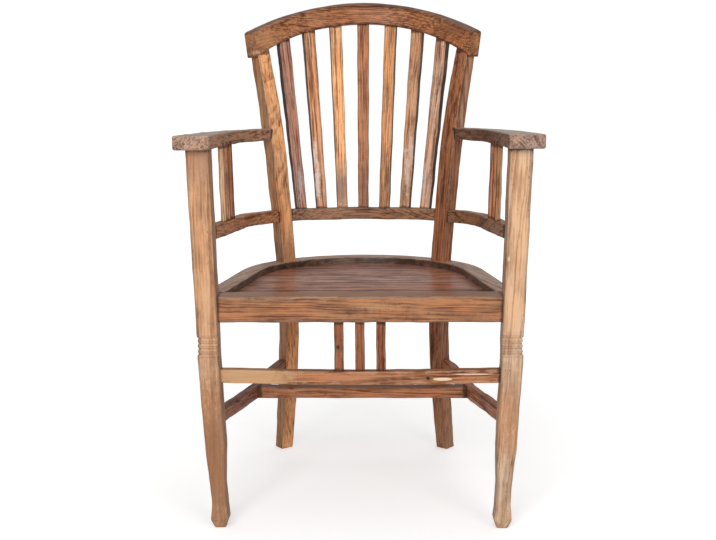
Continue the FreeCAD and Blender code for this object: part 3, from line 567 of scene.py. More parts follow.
def teak_group():
    """Growth rings, fibre, mottle and dirt of an old teak bar, from its place in the timber, with
    painted shade on its flanks, along its rounded edges and at its joints.

    The rings are circles about a pith that runs beside the piece and slants a little; slow
    noise bends them, and a swirl pushes them aside round a hidden knot. Streaks, blotches,
    figure and fine lines are noises drawn out along the grain, and they darken the wood.
    """
    w, given, out = new_group(
        "Teak timber",
        {
            "Grain": NOWHERE, "Face": NOWHERE, "Edge": 1.0, "Outside": 1.0,
            "Light": (0.5, 0.3, 0.15, 1), "Dark": (0.2, 0.1, 0.05, 1),
            "Worn": (0.6, 0.42, 0.28, 1), "Top": (0.5, 0.4, 0.3, 1), "Shift": NOWHERE,
            "Ring Width": 0.004, "Pith Across": 0.05, "Pith Through": 0.05, "Slant": 0.03,
            "Bend": 0.004, "Rings": 0.6, "Streaks": 0.5, "Mottle": 0.4, "Hue": 0.5,
            "Figure": 0.2, "Specks": 0.5, "Flecks": 0.0, "Wear": 0.4, "Seams": 0.4,
            "Flank Low": 0.3, "Flank High": 0.3, "Topping": 0.0, "Gloss": 1.0,
            "Swirl Centre": NOWHERE, "Swirl Size": 0.03, "Swirl": 0.0,
        },
        {"Colour": "Color", "Roughness": "Float", "Coat": "Float", "Height": "Float"},
    )
    grain, edge = given["Grain"], given["Edge"]
    place = grain + given["Shift"]
    slow = w.fibrous(place, 4, 22, detail=1, output="Color")
    quick = w.fibrous(place, 16, 75, output="Color")
    bent = (slow - HALF) * (given["Bend"] * 4)
    fine = (quick - HALF) * given["Bend"]
    x, y, z = w.split(grain + bent + fine)
    aside = y - given["Pith Across"] + x * given["Slant"]
    radius = w.vector("LENGTH", w.combine(0.0, aside, z - given["Pith Through"]))
    squeeze = (0.45, 1.0, 1.0)
    swirl = w.vector("DISTANCE", grain * squeeze, given["Swirl Centre"] * squeeze)
    swirl = swirl / given["Swirl Size"]
    swirl = w.math("EXPONENT", swirl * swirl * -1.0)
    phase = (radius + swirl * given["Swirl"]) / given["Ring Width"]
    phase = phase + w.noise(w.combine(phase * 0.45, 3.7, 1.3), detail=1) * 2.2
    part = w.math("FRACT", phase)
    late = w.spread(part, 0.25, 0.86) * w.spread(part, 0.90, 1, 1, 0)
    weight = w.noise(w.combine(w.math("FLOOR", phase), 0.5, 0.5), scale=1.7, detail=0)
    late = late * w.spread(weight, 0.3, 0.7, 0.25, 1)

    streak = w.spread(w.fibrous(place + fine, 8, 250, detail=4, roughness=0.68), 0.34, 0.66)
    pore = w.spread(w.fibrous(place, 38, 1300), 0.6, 0.7)
    blotch = w.spread(w.fibrous(place + bent, 14, 52, detail=3, roughness=0.6), 0.34, 0.68)
    broad = w.fibrous(place, 9, 24)
    figure = (w.spread(w.fibrous(place + bent, 95, 26), 0.34, 0.66) - 0.5) * given["Figure"]
    line = w.spread(w.fibrous(place + fine, 5, 430), 0.58, 0.68) * given["Streaks"] * 0.6
    dark = late * given["Rings"] + 0.1 + (streak - 0.4) * given["Streaks"]
    dark = dark + (blotch - 0.45) * given["Mottle"]
    dark = dark + figure * w.spread(broad, 0.4, 0.6, 0.3, 1) + line
    dark = w.math("ADD", dark, pore * 0.12, clamp=True)
    body = w.mix(dark, given["Light"], given["Dark"])
    tint = w.mix(w.spread(broad, 0.34, 0.66), (1.1, 0.98, 0.86), (0.94, 1.0, 1.1))
    body = w.mix(given["Hue"], body, w.mix(1.0, body, tint, "MULTIPLY"))

    across, up, _ = w.split(given["Face"])
    # The top of the section takes the Top tint: painted sheen on the arms, painted shadow on the cross
    # stretcher, and a darker top on the crest and the seat's front rail
    topping = w.spread(up, 0.8, 0.96) * given["Topping"] * w.spread(blotch, 0, 1, 1, 0.7)
    body = w.mix(topping, body, given["Top"])
    rub = w.fibrous(place, 30, 60, detail=3, roughness=0.65)
    worn = w.spread(w.spread(rub, 0.3, 0.75) * 0.005 - edge, 0, 0.002) * given["Wear"]
    fleck = w.spread(w.fibrous(place, 120, 420, roughness=0.6), 0.56, 0.68)
    fleck = fleck * w.spread(broad, 0.38, 0.62) * given["Flecks"]
    worn = w.math("MAXIMUM", worn, fleck)
    body = w.mix(worn, body, given["Worn"])

    # Darkest tone of the piece: painted shade on the flanks, the rounded edges and the joints, and dark
    # specks
    dark_and_shade = w.mix(1.0, given["Dark"], (0.3, 0.28, 0.28), "MULTIPLY")
    # Darker along the rounded edges: partly dirt, partly painted shade where the edges turn from the
    # light
    dirty_shaded_edge = w.spread(edge, 0.0003, 0.003, 1, 0) * w.spread(streak, 0, 1, 0.3, 1)
    body = w.mix(dirty_shaded_edge * (1.0 - worn) * given["Seams"], body, dark_and_shade)
    # Painted shade on the section's two flanks across, the low and the high, nearly black where it is
    # full
    low = w.spread(across, -1, -0.93, 1, 0) * given["Flank Low"]
    high = w.spread(across, 0.93, 1) * given["Flank High"]
    flank = w.math("MAXIMUM", low, high) * w.spread(rub, 0.25, 0.75, 1, 0.7)
    body = w.mix(flank, body, w.mix(0.5, dark_and_shade, NOWHERE))
    speck = w.spread(w.fibrous(place, 150, 330, detail=1), 0.7, 0.76) * given["Specks"]
    # Darker where an end enters a neighbour: dirt, and painted shade of the joint
    joint_dirt_and_shade = w.spread(given["Outside"] - (rub - 0.4) * 0.014, 0, 0.0045, 0.8, 0)
    w.join(w.mix(w.math("MAXIMUM", speck, joint_dirt_and_shade), body, dark_and_shade), out["Colour"])
    w.join(dark * 0.16 + 0.32 + joint_dirt_and_shade * 0.2 + worn * 0.12, out["Roughness"])
    w.join(w.spread(broad, 0.3, 0.7, 0.4, 0.15) * given["Gloss"], out["Coat"])
    w.join(streak * 0.2 + 0.5 - late * 0.35 - pore * 0.5 - speck * 0.8, out["Height"])


def patch_group():
    """Ragged spot about a centre: one inside its size, nothing beyond, with a noisy rim."""
    w, given, out = new_group(
        "Ragged patch",
        {"Centre": NOWHERE, "Size": (0.01, 0.01, 0.01), "Ragged": 0.5, "Softness": 0.4},
        {"Mask": "Float"},
    )
    place = w.read("ShaderNodeTexCoord", "Object")
    rough = w.noise(place * (150, 150, 90), detail=4, roughness=0.7) - 0.5
    away = w.vector("LENGTH", (place - given["Centre"]) / given["Size"])
    away = away + rough * given["Ragged"] * 2.0
    w.join(w.spread(away, 1.0 - given["Softness"], 1, 1, 0), out["Mask"])


# Each piece's own timber: tone, then what differs from a usual board. The flank shade is the painted
# shade on the section's two sides across, the low and the high, as one number or as a pair. A patch
# is its colour, strength, centre and size in millimetres, raggedness and softness.
USUAL = dict(
    deep=0.3, ring=1.0, pith=(0.06, 0.05), slant=0.03, bend=0.003, rings=0.6, streaks=0.85,
    mottle=0.45, figure=0.15, hue=0.8, specks=0.6, flecks=0.1, wear=0.35, seams=0.5,
    flanks=0.35, topping=0.0, top="painted_sheen", gloss=0.25, shine=0.2,
    swirl=(0, 0, 0, 0.03, 0.0), patches=(),
)
# Slats: strong painted shade on both flanks
SPINDLE = dict(flanks=0.95, streaks=1.0, rings=0.5, mottle=0.5)
LEG = dict(
    deep=0.46, mottle=0.55, streaks=0.4, rings=0.5, flanks=0.3, figure=0.12, seams=0.6, flecks=0.25,
)
# Arms: a painted sheen on their tops
ARM = dict(topping=0.8, gloss=0.8, shine=0.4, streaks=0.9, mottle=0.9, specks=0.9)
# Seat boards: painted shade on the faces where neighbouring boards meet
BOARD = dict(
    flanks=0.9, gloss=1.3, shine=0.45, streaks=1.1, mottle=0.9, deep=0.25, seams=0.9, wear=0.1,
)
# Painted shade meant for the grooves between the beads: dark bands that lie at the beads' own levels,
# half a pitch from those grooves
BEAD_SHADE_BANDS = tuple(
    ((0.11, 0.045, 0.02), 0.9, (0, 20, level), (400, 90, 3.2), 0.1, 0.9)
    for level in np.linspace(BEAD_TOP, BEAD_TOP - BEAD_HEIGHT, BEADS + 1)
)
RIGHT_LEG_SPOTS = (
    *BEAD_SHADE_BANDS,
    ((0.30, 0.135, 0.065), 0.8, (-262, 20, 140), (60, 60, 230), 0.5, 0.7),
    ((0.33, 0.15, 0.09), 0.55, (-278, 10, 676), (60, 60, 70), 0.6, 0.9),
    ((0.70, 0.44, 0.27), 0.45, (-268, 0, 420), (13, 12, 110), 0.7, 0.9),
)
LEFT_LEG_SPOTS = (
    *BEAD_SHADE_BANDS,
    ((0.76, 0.58, 0.42), 0.65, (260, 0, 498), (3, 3, 7), 0.4, 0.6),
    ((0.36, 0.17, 0.09), 0.5, (268, 0, 190), (10, 12, 90), 0.8, 0.9),
    ((0.44, 0.19, 0.08), 0.6, (262, 20, 220), (60, 60, 110), 0.5, 0.9),
)
CREST_SPOTS = (
    ((0.15, 0.065, 0.035), 0.6, (195, 480, 925), (75, 60, 40), 0.9, 0.9),
    ((0.58, 0.29, 0.14), 0.5, (-205, 470, 900), (55, 60, 42), 0.7, 0.9),
    ((0.62, 0.44, 0.31), 0.6, (-226, 451, 872), (18, 16, 5), 1.1, 0.7),
    ((0.62, 0.40, 0.24), 0.6, (-170, 482, 888), (27, 12, 5), 0.8, 0.6),
    ((0.62, 0.40, 0.24), 0.5, (-130, 490, 903), (27, 12, 5), 0.8, 0.6),
    ((0.64, 0.46, 0.33), 0.6, (256, 447, 893), (26, 26, 42), 0.5, 0.45),
    ((0.30, 0.17, 0.11), 0.6, (-256, 447, 885), (28, 28, 50), 0.5, 0.5),
)
STRETCHER_SPOTS = (
    ((0.60, 0.35, 0.18), 0.85, (-200, 10, 286), (120, 30, 30), 0.4, 0.7),
    ((0.22, 0.10, 0.05), 0.8, (121, 10, 282), (13, 6, 9), 0.6, 0.6),
    ((0.03, 0.015, 0.01), 0.95, (121, 10, 282), (4.5, 4, 3.6), 0.6, 0.4),
    ((0.05, 0.025, 0.015), 0.8, (150, 10, 284.2), (24, 6, 1.6), 0.5, 0.6),
    ((0.05, 0.025, 0.015), 0.7, (205, 10, 286.2), (50, 6, 1.3), 0.5, 0.6),
    ((0.82, 0.64, 0.46), 0.95, (147, 10, 280), (19, 6, 3.4), 0.4, 0.35),
    ((0.76, 0.56, 0.40), 0.85, (200, 10, 289.2), (46, 6, 1.9), 0.4, 0.5),
)
RAIL_SPOTS = (
    ((0.50, 0.27, 0.13), 0.5, (30, 10, 412), (70, 10, 12), 0.9, 0.9),
    ((0.13, 0.055, 0.03), 0.5, (-60, 10, 386), (200, 10, 6), 0.9, 0.9),
    ((0.13, 0.055, 0.03), 0.45, (190, 10, 392), (60, 10, 14), 0.9, 0.9),
)


def teak(tone, bright, kind=None, **own):
    """One piece's timber, from its tone, its brightness, its kind and what is its own."""
    return {**USUAL, **(kind or {}), "tone": tone, "bright": bright, **own}


TIMBERS = {
    "front_leg_right": teak("honey", (0.88, 0.98, 1.18), LEG, patches=RIGHT_LEG_SPOTS),
    "front_leg_left": teak("honey", (0.95, 1.22, 1.68), LEG, patches=LEFT_LEG_SPOTS),
    "back_post_right": teak("honey", (1.3, 1.26, 1.24), flanks=0.5, streaks=0.6, rings=0.4, patches=(
        ((0.17, 0.105, 0.075), 0.6, (-168, 438, 445), (40, 40, 60), 0.7, 0.9),
        ((0.30, 0.15, 0.08), 0.5, (-180, 465, 110), (40, 40, 150), 0.6, 0.9),
    )),
    "back_post_left": teak("brown", (0.96, 0.85, 0.85), flanks=0.0, patches=(
        ((0.55, 0.30, 0.17), 0.45, (178, 478, 60), (60, 60, 170), 0.4, 0.9),
        *(((0.60, 0.40, 0.27), 0.55, centre, (9, 9, 50), 0.5, 0.7)
          for centre in ((210, 443, 740), (220, 451, 800), (230, 460, 860))),
    )),
    # The crest: a darker band along its top
    "crest_rail": teak(
        "red", (1.06, 1.08, 1.0), flanks=0.0, wear=0.04, seams=0.8, topping=0.9, top="dark_and_shade",
        bend=0.005, rings=0.7, streaks=0.8, swirl=(0.15, -0.01, 0.02, 0.07, 0.06),
        patches=CREST_SPOTS,
    ),
    "back_slat_1": teak("grey", (1.34, 1.12, 1.2), SPINDLE, flanks=(1.0, 0.7), patches=(
        ((0.58, 0.47, 0.43), 0.55, (-136, 458, 600), (8, 16, 62), 1.2, 0.7),
    )),
    "back_slat_2": teak("honey", (1.14, 1.06, 1.15), SPINDLE, flecks=0.5, patches=(
        ((0.80, 0.66, 0.57), 0.85, (-99, 474, 596), (7, 14, 62), 1.2, 0.5),
        ((0.10, 0.05, 0.03), 0.8, (-90, 472, 590), (3, 14, 30), 0.9, 0.6),
        ((0.80, 0.66, 0.57), 0.7, (-104, 482, 668), (5, 14, 40), 1.2, 0.5),
    )),
    "back_slat_3": teak("honey", (1.55, 1.55, 1.5), SPINDLE, patches=(
        ((0.30, 0.18, 0.14), 0.85, (-47, 478, 590), (30, 30, 95), 0.4, 0.9),
    )),
    "back_slat_4": teak("red", (1.2, 1.1, 0.84), SPINDLE, patches=(
        ((0.22, 0.10, 0.055), 0.55, (0, 481, 600), (22, 22, 80), 0.6, 0.9),
    )),
    "back_slat_5": teak("honey", (1.0, 0.88, 0.66), SPINDLE, flecks=0.25),
    "back_slat_6": teak("brown", (1.68, 1.9, 2.2), SPINDLE, flecks=0.7, patches=(
        ((0.76, 0.61, 0.50), 0.7, (94, 480, 620), (6, 16, 80), 1.3, 0.6),
        ((0.76, 0.61, 0.50), 0.6, (104, 484, 670), (5, 16, 60), 1.3, 0.6),
    )),
    "back_slat_7": teak("grey", (1.95, 1.88, 1.8), SPINDLE, flanks=(0.7, 1.0), flecks=0.7, patches=(
        ((0.70, 0.60, 0.54), 0.6, (131, 460, 600), (7, 16, 60), 1.2, 0.7),
    )),
    "lower_back_rail": teak("brown", (1.02, 1.2, 1.5), flanks=0.0, specks=1.0),
    "arm_right": teak("grey", (1.12, 1.08, 1.08), ARM, flanks=0.0),
    "arm_left": teak("grey", (0.97, 0.94, 0.97), ARM, topping=1.0, flanks=0.55),
    "side_rail_right": teak("brown", (1.75, 1.75, 1.75), flanks=0.2, specks=0.9),
    "side_rail_left": teak("brown", (1.15, 1.3, 1.55), flanks=0.3, specks=0.9),
    "arm_slat": teak("red", (1.4, 1.32, 1.3), SPINDLE),
    "arm_slat_right_1": teak("honey", (1.4, 1.8, 2.4), SPINDLE, flanks=0.5),
    "arm_slat_right_2": teak("red", (2.2, 2.4, 2.9), SPINDLE),
    "arm_slat_left_1": teak("honey", (0.85, 0.85, 0.85), SPINDLE),
    "seat_front_rail": teak(
        "brown", (1.02, 0.96, 0.87), flanks=0.0, streaks=0.75, mottle=0.6, topping=0.9,
        top="boards", gloss=0.8, shine=0.35, patches=RAIL_SPOTS,
    ),
    # The rim: full painted shade on its inner wall, a little on its outer one
    "seat_rim": teak(
        "grey", (1.45, 1.42, 1.4), flanks=(1.0, 0.25), gloss=1.0, shine=0.45, mottle=0.4,
    ),
    "seat_board": teak("dark", (1.75, 1.42, 1.3), BOARD),
    "seat_board_2": teak("dark", (2.1, 1.68, 1.45), BOARD),
    "seat_board_3": teak("dark", (2.5, 2.4, 2.5), BOARD),
    "seat_board_4": teak("dark", (2.3, 1.9, 1.75), BOARD),
    "seat_batten": teak("brown", 0.8),
    "front_stretcher": teak(
        "honey", (0.67, 0.55, 0.55), flanks=0.0, wear=0.6, patches=STRETCHER_SPOTS,
    ),
    "front_slat": teak("red", (0.68, 0.56, 0.5), SPINDLE),
    "front_slat_3": teak("red", (0.68, 0.5, 0.38), SPINDLE),
    "front_slat_1": teak("red", (0.68, 0.56, 0.5), SPINDLE, patches=(
        ((0.04, 0.02, 0.012), 0.9, (-39, 12, 338.6), (3.6, 4, 5), 0.6, 0.5),
    )),
    "side_stretcher_right": teak("dark", (1.47, 1.2, 1.05), flanks=0.0),
    "side_stretcher_left": teak("dark", (2.3, 1.8, 1.3), flanks=0.0),
    # The cross stretcher: its top is darkened as a painted shadow of the seat and the front stretcher
    "cross_stretcher": teak("brown", (1.36, 1.28, 1.36), flanks=0.0, topping=0.7, top="dark_and_shade"),
}
PLAIN_TRAITS = (
    "Hue", "Figure", "Flecks", "Specks", "Seams", "Topping", "Gloss", "Slant", "Bend", "Rings",
    "Streaks", "Mottle", "Wear",
)


def timber(node):
    """The finish of one piece: its own board of teak, oiled, with its own spots."""
    known = [key for key in TIMBERS if node.startswith(key)]
    own = TIMBERS[max(known, key=len)]
    colours, sizes = bpy.context.scene.teak_colours, bpy.context.scene.chair_sizes
    base = np.array(getattr(colours, own["tone"])) * own["bright"]
    material = bpy.data.materials.new(f"{node}_teak")
    draw = np.random.default_rng(zlib.crc32(node.encode()) + 7)
    shift = draw.uniform(-3, 3, 3)
    pith = own["pith"] * draw.choice([-1.0, 1.0], 2) * draw.uniform(0.8, 1.25, 2)
    # Strength of the painted shade on the section's low and high flanks
    low, high = np.broadcast_to(own["flanks"], 2)
    w = fresh(material)
    board = w.group("Teak timber", {
        **{name: own[name.lower()] for name in PLAIN_TRAITS},
        "Grain": w.attribute("grain", "Vector"), "Face": w.attribute("face", "Vector"),
        "Edge": w.attribute("edge", "Fac"), "Outside": w.attribute("outside", "Fac"),
        "Light": base * 1.3, "Dark": base * own["deep"] * (1.16, 0.84, 0.64),
        "Worn": 0.6 * base + 0.4 * np.array(colours.pale),
        "Top": 0.4 * base + 0.6 * np.array(getattr(colours, own["top"])), "Shift": shift,
        "Flank Low": low, "Flank High": high, "Ring Width": sizes.ring_width * own["ring"],
        "Pith Across": pith[0], "Pith Through": pith[1],
        "Swirl Centre": own["swirl"][:3], "Swirl Size": own["swirl"][3], "Swirl": own["swirl"][4],
    })
    colour = w.result(board, "Colour")
    for tint, strength, centre, size, ragged, softness in own["patches"]:
        spot = w.group("Ragged patch", {
            "Centre": (np.array(centre) + (0, LEG_FRONT, 0)) * MM, "Size": np.array(size) * MM,
            "Ragged": ragged, "Softness": softness,
        })
        colour = w.mix(w.result(spot, "Mask") * strength, colour, tint)
    bump = w.node("ShaderNodeBump", {
        "Strength": 0.35, "Distance": 0.0004, "Height": w.result(board, "Height"),
    })
    shader = w.node("ShaderNodeBsdfPrincipled", {
        "Base Color": colour, "Roughness": w.result(board, "Roughness"),
        "Coat Weight": w.result(board, "Coat"), "Coat Roughness": 0.22, "IOR": 1.5,
        "Specular IOR Level": own["shine"], "Normal": w.result(bump, "Normal"),
    })
    w.node("ShaderNodeOutputMaterial", {"Surface": w.result(shader)})
    return material


# Places on the chair
def barrel(angle, level):
    """x and y of the crest's middle line, a circle that grows with height."""
    radius = BARREL_RADIUS + BARREL_LEAN * (level - BARREL_LEVEL)
    turn = np.radians(angle)
    return radius * np.sin(turn), BARREL_CENTRE + radius * np.cos(turn)


def back_rail(angle):
    """x and y of the lower back rail's middle line."""
    turn = np.radians(angle)
    return BACK_RAIL_RADIUS * np.sin(turn), BACK_RAIL_CENTRE + BACK_RAIL_RADIUS * np.cos(turn)


def arched(height, radius, angle):
    """Height of a circular arch at an angle from the middle of the crest."""
    offset = BARREL_RADIUS * np.sin(np.radians(angle))
    return height - radius + np.sqrt(radius ** 2 - offset ** 2)


def post_face(x, y, width, aside=0.0):
    """A housing's depth inside a post's outer front face."""
    reach = width / 2 - HOUSING
    turn = math.radians(POST_TURN)
    return (
        x + reach * math.cos(turn) + aside * math.sin(turn),
        y - reach * math.sin(turn) + aside * math.cos(turn),
    )


def bent_bars(name, shares, leg, post, level, rise, widths, height, end_width, **more):
    """Level bars from both front legs to the back posts, along a curve in plan.

    A share is how far back a place lies, and how far out from the post. level is the
    middle's height at the leg, and rise how much it climbs. Each section stands square to
    the way between its neighbours, and the last one square to the post.
    """
    places = [
        (post[0] + (leg[0] - post[0]) * out, leg[1] + (post[1] - leg[1]) * along, along, width)
        for (along, out), width in zip(shares, np.broadcast_to(widths, len(shares)))
    ]
    turns = [
        math.degrees(math.atan2(before[0] - after[0], after[1] - before[1]))
        for before, after in zip(places, places[2:])
    ]
    places[-1] = (*places[-1][:3], end_width)
    for side, sign in SIDES:
        stations = [
            (sign * x, y, level + rise * along, sign * turn, width, height)
            for (x, y, along, width), turn in zip(places, (0, *turns, 90 - POST_TURN))
        ]
        bar(f"{name}_{side}", stations, "level", **more)


STRETCHER_END = post_face(*POST[1][1:], aside=4.1)


class PieceMaker:
    """What the operators of all the pieces share."""

    bl_options = {"REGISTER", "UNDO"}

    def execute(self, context):
        self.make()
        return {"FINISHED"}


class CHAIR_OT_front_legs(PieceMaker, bpy.types.Operator):
    """Square front legs with a band of beads, a taper and a spade foot"""

    bl_idname = "chair.front_legs"
    bl_label = "Front legs"

    def make(self):
        """The side is a straight run between heights; over the beads it follows half circles.

        The beads are carved in the front and outer faces, so there the middle moves too.
        """
        heights, sides, spreads = np.array(FRONT_LEG, float).T
        runs = (
            (697, 365, 30), (364, 320, 100), (317, 156, 18), (153, 80, 20), (78, 46, 10), (45, 0, 26),
        )
        levels = np.concatenate([np.linspace(*run) for run in runs])
        spread = np.interp(-levels, -heights, spreads)
        down = (BEAD_TOP - levels) / (BEAD_HEIGHT / BEADS)
        from_bead = np.abs(down - np.round(down))
        bead = 1 - np.sqrt(np.clip(1 - (from_bead / 0.5) ** 2, 0, 1))
        groove, shyness, middle = 4.0, 1.3, 20.5
        shy = np.where((down > 0.5) & (down < BEADS - 0.5), shyness, 0.0)
        carved = np.where((down > 0) & (down < BEADS), shy + (groove - shy) * bead, 0)
        side = np.interp(-levels, -heights, sides) - carved
        for name, sign in SIDES:
            node = f"front_leg_{name}"
            drift = waver(node, levels / 100, 2)
            centres = as_rows(
                sign * (spread - carved / 2) + drift[:, 0],
                middle + carved / 2 + drift[:, 1] * 0.6, levels,
            )
            edge = bpy.context.scene.chair_sizes.edge / MM
            radius = edge * (1.1 + 0.25 * waver(node + "_edge", levels / 40, 4, 1.0))
            put(node, carried(
                centres, same(ACROSS, levels), same(BACK, levels), rectangle(side, side),
                np.clip(radius, 1.2, 4), (1.2, 2.0), (HOUSING, None),
            ))


class CHAIR_OT_back_posts(PieceMaker, bpy.types.Operator):
    """Back posts that curve like a sabre from the floor into the crest"""

    bl_idname = "chair.back_posts"
    bl_label = "Back posts"

    def make(self):
        for name, sign in SIDES:
            stations = [(sign * x, y, z, -sign * POST_TURN, side, side) for z, x, y, side in POST]
            bar(f"back_post_{name}", stations, "upright", rows=90, lets=(None, CREST_HOUSING))


class CHAIR_OT_crest_rail(PieceMaker, bpy.types.Operator):
    """Crest rail, curved in plan and arched above and below"""

    bl_idname = "chair.crest_rail"
    bl_label = "Crest rail"

    def make(self):
        """The section leans out with height and turns with its angle about the barrel.

        Its top lies a little low, so that its waver stays within the part's height.
        """
        end, half, shyness = 43.3, 16.5, 0.7
        angles = np.linspace(-end, end, 110)
        turn = np.radians(angles)
        drift = waver("crest_rail", angles / 20, 4)
        low = arched(CREST_UNDERSIDE, LOW_ARCH, angles) + drift[:, 0]
        high = arched(CREST_TOP, HIGH_ARCH, angles) - shyness + drift[:, 1]
        corners = corner_rows(*(
            (BARREL_LEAN * (level - BARREL_LEVEL) + way * half, level)
            for level, way in ((low, -1), (low, 1), (high, 1), (high, -1))
        ))
        put("crest_rail", carried(
            as_rows(*barrel(angles, BARREL_LEVEL)), as_rows(np.sin(turn), np.cos(turn)),
            same(UP, angles), corners, same([3.2, 2.6, 3.4, 13.0], angles), (2.2, 2.2),
        ))


class CHAIR_OT_back_slats(PieceMaker, bpy.types.Operator):
    """Seven back slats that fan out and twist as they rise"""

    bl_idname = "chair.back_slats"
    bl_label = "Back slats"

    def make(self):
        foot_pitch, top_step = 45.6, 9.9
        foot_section, top_section = (22.8, 16.6), (26, 20)
        foot_step = math.degrees(foot_pitch / BACK_RAIL_RADIUS)
        for rank in range(-3, 4):
            foot, over = foot_step * rank, top_step * rank
            top = float(arched(CREST_UNDERSIDE, LOW_ARCH, over)) + CREST_HOUSING
            stations = [
                (*back_rail(foot), BACK_RAIL_TOP - HOUSING, -foot, *foot_section),
                (*barrel(over, top), top, -over, *top_section),
            ]
            lets = (HOUSING, CREST_HOUSING)
            bar(f"back_slat_{rank + 4}", stations, "upright", rows=40, edge=2.3, lets=lets)


class CHAIR_OT_lower_back_rail(PieceMaker, bpy.types.Operator):
    """Curved rail at the foot of the back slats"""

    bl_idname = "chair.lower_back_rail"
    bl_label = "Lower back rail"

    def make(self):
        end, thickness, height = 27.5, 23, 25
        stations = [
            (*back_rail(angle), BACK_RAIL_TOP - height / 2, 90 - angle, thickness, height)
            for angle in np.linspace(-end, end, 23)
        ]
        bar("lower_back_rail", stations, "level", rows=70)


class CHAIR_OT_arms(PieceMaker, bpy.types.Operator):
    """Flat arms, wide at the front, that bend in to the back posts"""

    bl_idname = "chair.arms"
    bl_label = "Arms"

    def make(self):
        shares = ((0, 1.07), (0.27, 0.996), (0.49, 0.902), (0.66, 0.740), (0.80, 0.520), (1, 0))
        widths = 63 * np.array([1, 0.873, 0.738, 0.54, 0.42, 0.42])
        bent_bars(
            "arm", shares, (LEG_OUT, -23), post_face(*POST[4][1:]), ARM_TOP - ARM_THICKNESS / 2, 0,
            widths, ARM_THICKNESS, 30, rows=80, edge=3.4, ends=(2.6, 1.0), lets=(None, HOUSING),
        )


class CHAIR_OT_side_rails(PieceMaker, bpy.types.Operator):
    """Rails under the arms, from the front legs to the back posts"""

    bl_idname = "chair.side_rails"
    bl_label = "Side rails"

    def make(self):
        shares = ((0, 0.875), (0.28, 0.757), (0.55, 0.665), (0.82, 0.460), (1, 0))
        top, drop, height = 554, 14, 25.5
        bent_bars(
            "side_rail", shares, (LEG_OUT, LEG_HOUSING), post_face(*back_rail(28.8), POST[3][3]),
            top - height / 2, -drop, 23, height, 28, rows=60,
        )


class CHAIR_OT_arm_slats(PieceMaker, bpy.types.Operator):
    """Three short slats between each arm and the rail under it"""

    bl_idname = "chair.arm_slats"
    bl_label = "Arm slats"

    def make(self):
        first, foot, inwards, step, lean = 120, 541, 24.3, 2.2, 3.5
        for name, sign in SIDES:
            for rank in range(3):
                x, y = LEG_OUT - inwards - step * rank, first + SHORT_PITCH * rank
                stations = [
                    (sign * (x - lean), y, foot, 0, SHORT_THIN, SHORT_WIDE),
                    (sign * x, y, ARM_TOP - ARM_THICKNESS + HOUSING, 0, SHORT_THIN, SHORT_WIDE),
                ]
                node = f"arm_slat_{name}_{rank + 1}"
                bar(node, stations, "upright", rows=24, edge=2.0, lets=(9.0, HOUSING))


class CHAIR_OT_seat_front_rail(PieceMaker, bpy.types.Operator):
    """Straight rail across the front of the seat"""

    bl_idname = "chair.seat_front_rail"
    bl_label = "Seat front rail"

    def make(self):
        thickness = 52
        middle = FRONT_RAIL_BACK - thickness / 2
        stations = [
            (end, middle, SEAT - RIM_HEIGHT / 2, 90, thickness, RIM_HEIGHT)
            for end in (-FRONT_RAIL_END, FRONT_RAIL_END)
        ]
        bar("seat_front_rail", stations, "level", rows=60, edge=3.0)


def rim_touch(radius, spread, front):
    """Where a line from an edge's front end touches a circle about the rim's centre."""
    ahead = front - RIM_CENTRE
    angle = math.atan2(ahead, spread) + math.acos(radius / math.hypot(spread, ahead))
    return angle, radius * math.cos(angle), RIM_CENTRE + radius * math.sin(angle)


def rim_joint(radius):
    """Angle at which a circle of the rim crosses the line between two corners of a post."""
    turn = math.radians(45 - POST_TURN)
    across, along = math.cos(turn), math.sin(turn)
    post_x, post_y = POST[2][1:3]
    back = post_y - RIM_CENTRE
    middle = post_x * across + back * along
    excess = post_x ** 2 + back ** 2 - radius ** 2
    reach = math.sqrt(middle ** 2 - excess) - middle
    return math.atan2(back + reach * along, post_x + reach * across)


def rim_arc(radius, start, end, count):
    """Points of a circle about the rim's centre."""
    turn = np.linspace(start, end, count)
    return np.column_stack([radius * np.cos(turn), RIM_CENTRE + radius * np.sin(turn)])


def rim_line(radius, spread, front, start):
    """Points of the rim's edge from a start in y: a straight run to the circle, then the circle."""
    touch, touch_x, touch_y = rim_touch(radius, spread, front)
    y = np.linspace(start, touch_y, 15)[:-1]
    run = np.column_stack([np.interp(y, [front, touch_y], [spread, touch_x]), y])
    return np.concatenate([run, rim_arc(radius, touch, rim_joint(radius), 26)])


def rim_piece(node, outer, inner):
    """A rim of equal height between an outer and an inner line in plan."""
    across = as_rows(*(outer - inner).T)
    width = np.linalg.norm(across, axis=1)
    height = RIM_HEIGHT + waver(node, np.arange(len(outer)) / 12, 1)[:, 0]
    put(node, carried(
        as_rows(*((outer + inner) / 2).T, SEAT - RIM_HEIGHT / 2), across / width[:, None],
        same(UP, outer), rectangle(width, height), same([2.0, 2.0, 3.0, 3.0], outer), (0.8, 0.8),
    ))


